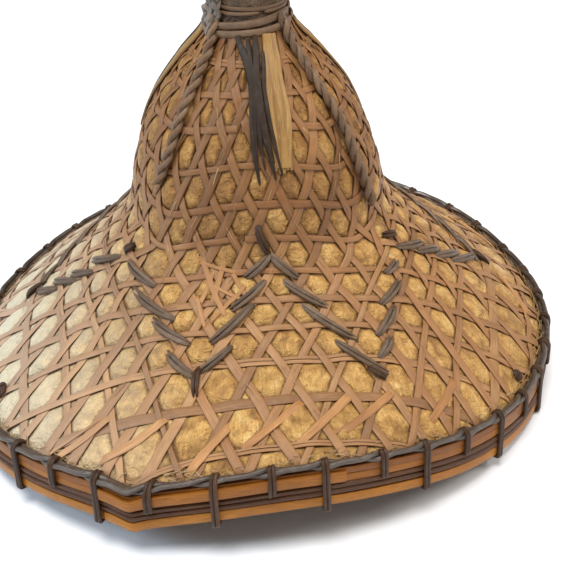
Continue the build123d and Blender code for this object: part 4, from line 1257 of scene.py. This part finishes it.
# Knot loops at the left: degrees, z, height, half width, cord radius, phase, shade.
NECK_KNOTS = [(-50, 256, 7.6, 3.2, 1.7, 0.3, 0.4), (-60, 262, 7.6, 3.4, 1.7, 1.9, 0.7),
              (-56, 269, 6.8, 2.8, 1.5, 3.0, 0.2), (-68, 252, 7.2, 3.0, 1.5, 2.2, 0.9)]
# Coiled knots near the rim: degrees, radius on the hat, scale.
SIDE_KNOTS = [(-63.0, 190.5, 1.0), (60.5, 195.5, 0.72)]


def sideways(angle):
    """The horizontal direction round the hat."""
    return np.array([math.cos(angle), math.sin(angle), 0.0])


def neck_cord(parts, degrees, low, high, size):
    count = 50
    down = down_at_z(np.linspace(low, high, count))
    angle = np.radians(degrees) + drift(count, 14, rng, 0.05)
    height = np.interp(np.linspace(0, 1, count), [0, 0.15, 0.5, 1], [3.0, 5.6, 6.0, 5.2])
    for strand in two_strands(place(down, angle, height), normal(down, angle), 1.0, 2.6,
                              rng.uniform(0, TAU)):
        tube(parts, strand, 1.15 * size / 1.7, rng.uniform(0, 1), rng, sides=7, taper=0.02,
             lump=0.06)


def knot_loop(parts, degrees, z, height, half, radius, phase, shade):
    angle = math.radians(degrees)
    t = np.linspace(0, TAU, 60, endpoint=False)
    path = (place(down_at_z(z), angle, height)
            + (half * np.sin(t))[:, None] * sideways(angle)
            + (half * 1.5 * np.cos(t))[:, None] * np.array([0.0, 0.0, 1.0])
            + (1.3 * np.sin(2 * t + phase))[:, None] * around(1.0, angle, 0.0))
    tube(parts, path, radius, shade, rng, closed=True, lump=0.05)


def side_knot(parts, degrees, at_radius, scale):
    """A spiral coil, highest at its middle."""
    down, angle = down_at_r(at_radius), math.radians(degrees)
    out = normal(down, angle)
    side = sideways(angle)
    end = TAU * 3.1
    t = np.linspace(0, end, 170)
    spread = np.interp(t, [0, end], [0.8, 5.2]) * scale
    path = (place(down, angle, ON_TOP + 1.0) + (spread * np.cos(t))[:, None] * side
            + (spread * np.sin(t))[:, None] * np.cross(out, side)
            + np.interp(t, [0, end], [1.7, 0.0])[:, None] * out)
    tube(parts, path, 1.15 * scale, 0.3, rng, sides=7, taper=0.02, lump=0.05)


parts = Parts()
for cord in NECK_CORDS:
    neck_cord(parts, *cord)
for knot in NECK_KNOTS:
    knot_loop(parts, *knot)
parts.build("neck_knots_cord", M_CORD, "grey_cane", "neck_knots")
parts = Parts()
for knot in SIDE_KNOTS:
    side_knot(parts, *knot)
parts.build("side_knots_coil", M_KNOT, "dark_cane", "side_knots")

# ---------------------------------------------------------------- loose strips
rng = np.random.default_rng(91)
# Start degrees, start down (mm), end degrees, end down (mm).
RIM_STRIPS = [
    (-30.3, 330.5, -20.8, 297.2), (-5.0, 319.9, 7.4, 289.6), (5.1, 320.5, 18.2, 289.8),
    (12.5, 319.0, 28.1, 294.8), (31.2, 324.6, 44.1, 303.2), (-39.6, 340.2, -32.4, 301.9),
    (-14.1, 334.2, -7.0, 300.8), (82.0, 324.0, 93.0, 296.0), (112.0, 328.0, 123.0, 297.0),
    (152.0, 324.0, 161.0, 297.0), (-170.0, 328.0, -160.0, 297.0),
    (-128.0, 324.0, -118.0, 296.0), (-95.0, 328.0, -87.0, 299.0)]
PATCH_STRIPS = [
    (-26.2, 193.0, -8.3, 197.8), (-22.6, 204.0, -5.9, 216.9), (-16.8, 233.4, -8.7, 212.2),
    (-23.2, 214.6, -17.2, 237.9), (-14.6, 188.2, -17.0, 221.1), (-12.0, 196.4, -4.7, 217.3),
    (-25.0, 188.3, -11.0, 230.8), (-19.0, 196.0, -21.5, 222.0), (-13.5, 222.0, -6.0, 205.0)]


def loose(parts, ends, width, bow, lift):
    """A strip on top of the weave with its ends tucked in."""
    start_deg, start_down, end_deg, end_down = ends
    count = 30
    x = np.linspace(0, 1, count)
    down = start_down + (end_down - start_down) * x
    angle = np.radians(start_deg + (end_deg - start_deg) * x) + bow * np.sin(math.pi * x)
    raised = ease(np.clip(np.minimum(x, 1 - x) / 0.13, 0, 1))
    height = OUTER_MID - 0.9 + (ON_TOP + lift - OUTER_MID + 0.9) * raised
    strip(parts, down, angle, height, width * (1 + drift(count, 7, rng, 0.08)), 0.45,
          rng.uniform(0, 1), curl=drift(count, 9, rng, 0.09))


parts = Parts()
for ends in RIM_STRIPS:
    width = rng.uniform(4.6, 6.2)
    loose(parts, ends, width, 0.014 * rng.uniform(-1, 1), 0.25)
    if rng.uniform() < 0.6:
        beside = np.array(ends) + (-1.7, -1.0, -1.5, 1.5)
        loose(parts, beside, width * 0.45, 0.01 * rng.uniform(-1, 1), 0.05)
for ends in PATCH_STRIPS:
    loose(parts, ends, rng.uniform(2.2, 3.8), 0.01 * rng.uniform(-1, 1), rng.uniform(0.0, 0.5))
parts.build("outer_weave_loose_strips", M_PALE, "bamboo_strip")

# ---------------------------------------------------------------- frayed fibres
DIAGONALS = SECTORS * PER_SECTOR * 2


def rim_fibre(parts, x):
    """A fibre standing out just above the fold of the brim."""
    angle = rng.uniform(-math.pi, math.pi)
    down = END - 20.5 - abs(rng.normal(0, 4.0))
    length = rng.uniform(3, 11)
    way = rng.normal(0.0, 0.45) * 1.6 + 1.2
    strip(parts, down + length * np.cos(way) * x * 0.55, angle + length * np.sin(way) * x / 198,
          ON_TOP - 0.6 + rng.uniform(0, 2.4) * x ** 1.5 + 0.2,
          rng.uniform(0.3, 1.0) * (1 - 0.7 * x), 0.18, rng.uniform(0, 1), crown=0.02)


def strip_fibre(parts, x):
    """A fibre lifting off one of the outer diagonals."""
    _, down, angle, _ = OUTER_PATHS[rng.integers(0, DIAGONALS)]
    i = rng.integers(5, len(down) - 5)
    length = rng.uniform(3, 11)
    turn, fall = angle[i + 3] - angle[i - 3], down[i + 3] - down[i - 3]
    scale = length / (math.hypot(turn * on_curve(down[i])[0], fall) + 1e-6)
    twist = rng.normal(0, 0.2)
    fibre_down = down[i] + fall * scale * x + twist * length * x * x
    fibre_angle = angle[i] + turn * scale * x + twist * 0.03 * x * x
    if fibre_down.max() > END - 22:
        return
    strip(parts, fibre_down, fibre_angle, OUTER_MID + 0.9 + rng.uniform(0.2, 1.6) * x ** 2,
          rng.uniform(0.25, 0.7) * (1 - 0.6 * x), 0.15, rng.uniform(0, 1), crown=0.02)


parts = Parts()
for make_fibre, count in ((rim_fibre, 2600), (strip_fibre, 420)):
    for _ in range(count):
        make_fibre(parts, np.linspace(0, 1, 6))
parts.build("frayed_fibres", M_FRAY, "bamboo_strip")

# ---------------------------------------------------------------- head ring inside the crown
rng = np.random.default_rng(101)
TIE_COUNT = 8
parts = Parts()
hoop(parts, rng, 30, 388.5, 200, 86.8, 90.4, 89.0, 110.0, 0.6, uneven=0.1)
parts.build("head_ring_split", M_SLAT, "hoop_bamboo", "head_ring")
parts = Parts()
for k in range(TIE_COUNT):
    middle = math.radians(22.5 + 360 / TIE_COUNT * k)
    loop = rounded([(87.3, 87.4), (91.5, 87.4), (91.6, 104.5), (90.8, 108.8), (89.0, 111.4),
                    (87.3, 110.8)], 1.4)
    for shift in (-1.1, 1.1):
        path = around(loop[:, 0], middle + shift / 90, loop[:, 1])
        apart = np.linalg.norm(np.roll(path, -1, 0) - path, axis=1) > 0.1
        tube(parts, path[apart], 1.05, rng.uniform(0, 1), sides=7, closed=True, lump=0.0)
parts.build("head_ring_ties_cane", M_BROWN, "brown_cane", "head_ring_ties")


# ---------------------------------------------------------------- floor, light, camera (metres)
def floor():
    half = 40
    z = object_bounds()[0][2] - 0.0005
    mesh = bpy.data.meshes.new("floor")
    corners = [(-half, -half, z), (half, -half, z), (half, half, z), (-half, half, z)]
    mesh.from_pydata(corners, [], [(0, 1, 2, 3)])
    obj = link("floor", mesh)
    material, _, shader = new_material("pale_floor")
    shader.inputs["Base Color"].default_value = (0.88, 0.92, 1.0, 1)
    shader.inputs["Roughness"].default_value = 0.8
    mesh.materials.append(material)
    obj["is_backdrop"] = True


def lamp(name, kind, energy, colour, facing, location=(0, 0, 0), **props):
    data = bpy.data.lights.new(name, kind)
    data.energy, data.color = energy, colour
    for key, value in props.items():
        setattr(data, key, value)
    obj = link(name, data)
    obj.location = location
    obj.rotation_mode = "QUATERNION"
    obj.rotation_quaternion = Vector(facing).to_track_quat("-Z", "Y")


def area(name, location, size, energy, colour, target):
    lamp(name, "AREA", energy, colour, Vector(target) - Vector(location), location,
         shape="DISK", size=size)


def camera():
    """Looks at the hat from the front and above, rolled a little."""
    elevation, roll = math.radians(29.5), math.radians(-3.0)
    distance, pivot_z = 892.5, 73.5             # mm
    aim_right, aim_up = 0.02266244, -0.02725832  # tangents of the aim off the pivot
    back = np.array([0, -math.cos(elevation), math.sin(elevation)])
    location = np.array([0, 0, pivot_z]) + back * distance
    right = np.array([1, 0, 0.0])
    up = np.cross(right, -back)
    right, up = (right * math.cos(roll) + up * math.sin(roll),
                 -right * math.sin(roll) + up * math.cos(roll))
    forward = unit(-back + aim_right * right + aim_up * up, 0.0)
    right = unit(right - forward * (right @ forward), 0.0)
    up = np.cross(right, forward)
    data = bpy.data.cameras.new("camera")
    data.sensor_width = 36.0
    data.lens = 78.3310345
    data.clip_start, data.clip_end = 0.01, 60
    obj = link("camera", data)
    obj.matrix_world = Matrix([[right[i], up[i], -forward[i], location[i] * MM]
                               for i in range(3)] + [[0, 0, 0, 1]])
    bpy.context.scene.camera = obj


floor()
world = bpy.data.worlds.new("studio")
bpy.context.scene.world = world
world.use_nodes = True
background = world.node_tree.nodes["Background"]
background.inputs["Color"].default_value = (0.96, 0.98, 1.0, 1)
background.inputs["Strength"].default_value = 0.27
lamp("soft_top", "SUN", energy=2.9, colour=(1.0, 0.955, 0.88), facing=(0.10, 0.22, -1.0),
     angle=math.radians(30))
area("window_left", location=(-1.5, -0.35, 0.85), size=0.7, energy=15,
     colour=(0.70, 0.86, 1.0), target=(-0.1, 0, 0.05))
area("window_right", location=(1.5, -0.3, 1.2), size=0.8, energy=15,
     colour=(1.0, 0.93, 0.82), target=(0.12, 0, 0.04))
area("front_warm", location=(0.3, -1.7, 0.7), size=0.9, energy=2.2,
     colour=(1.0, 0.72, 0.42), target=(0, 0, 0.1))
camera()
bpy.context.scene.view_settings.view_transform = "Standard"
bpy.context.scene.view_settings.look = "None"
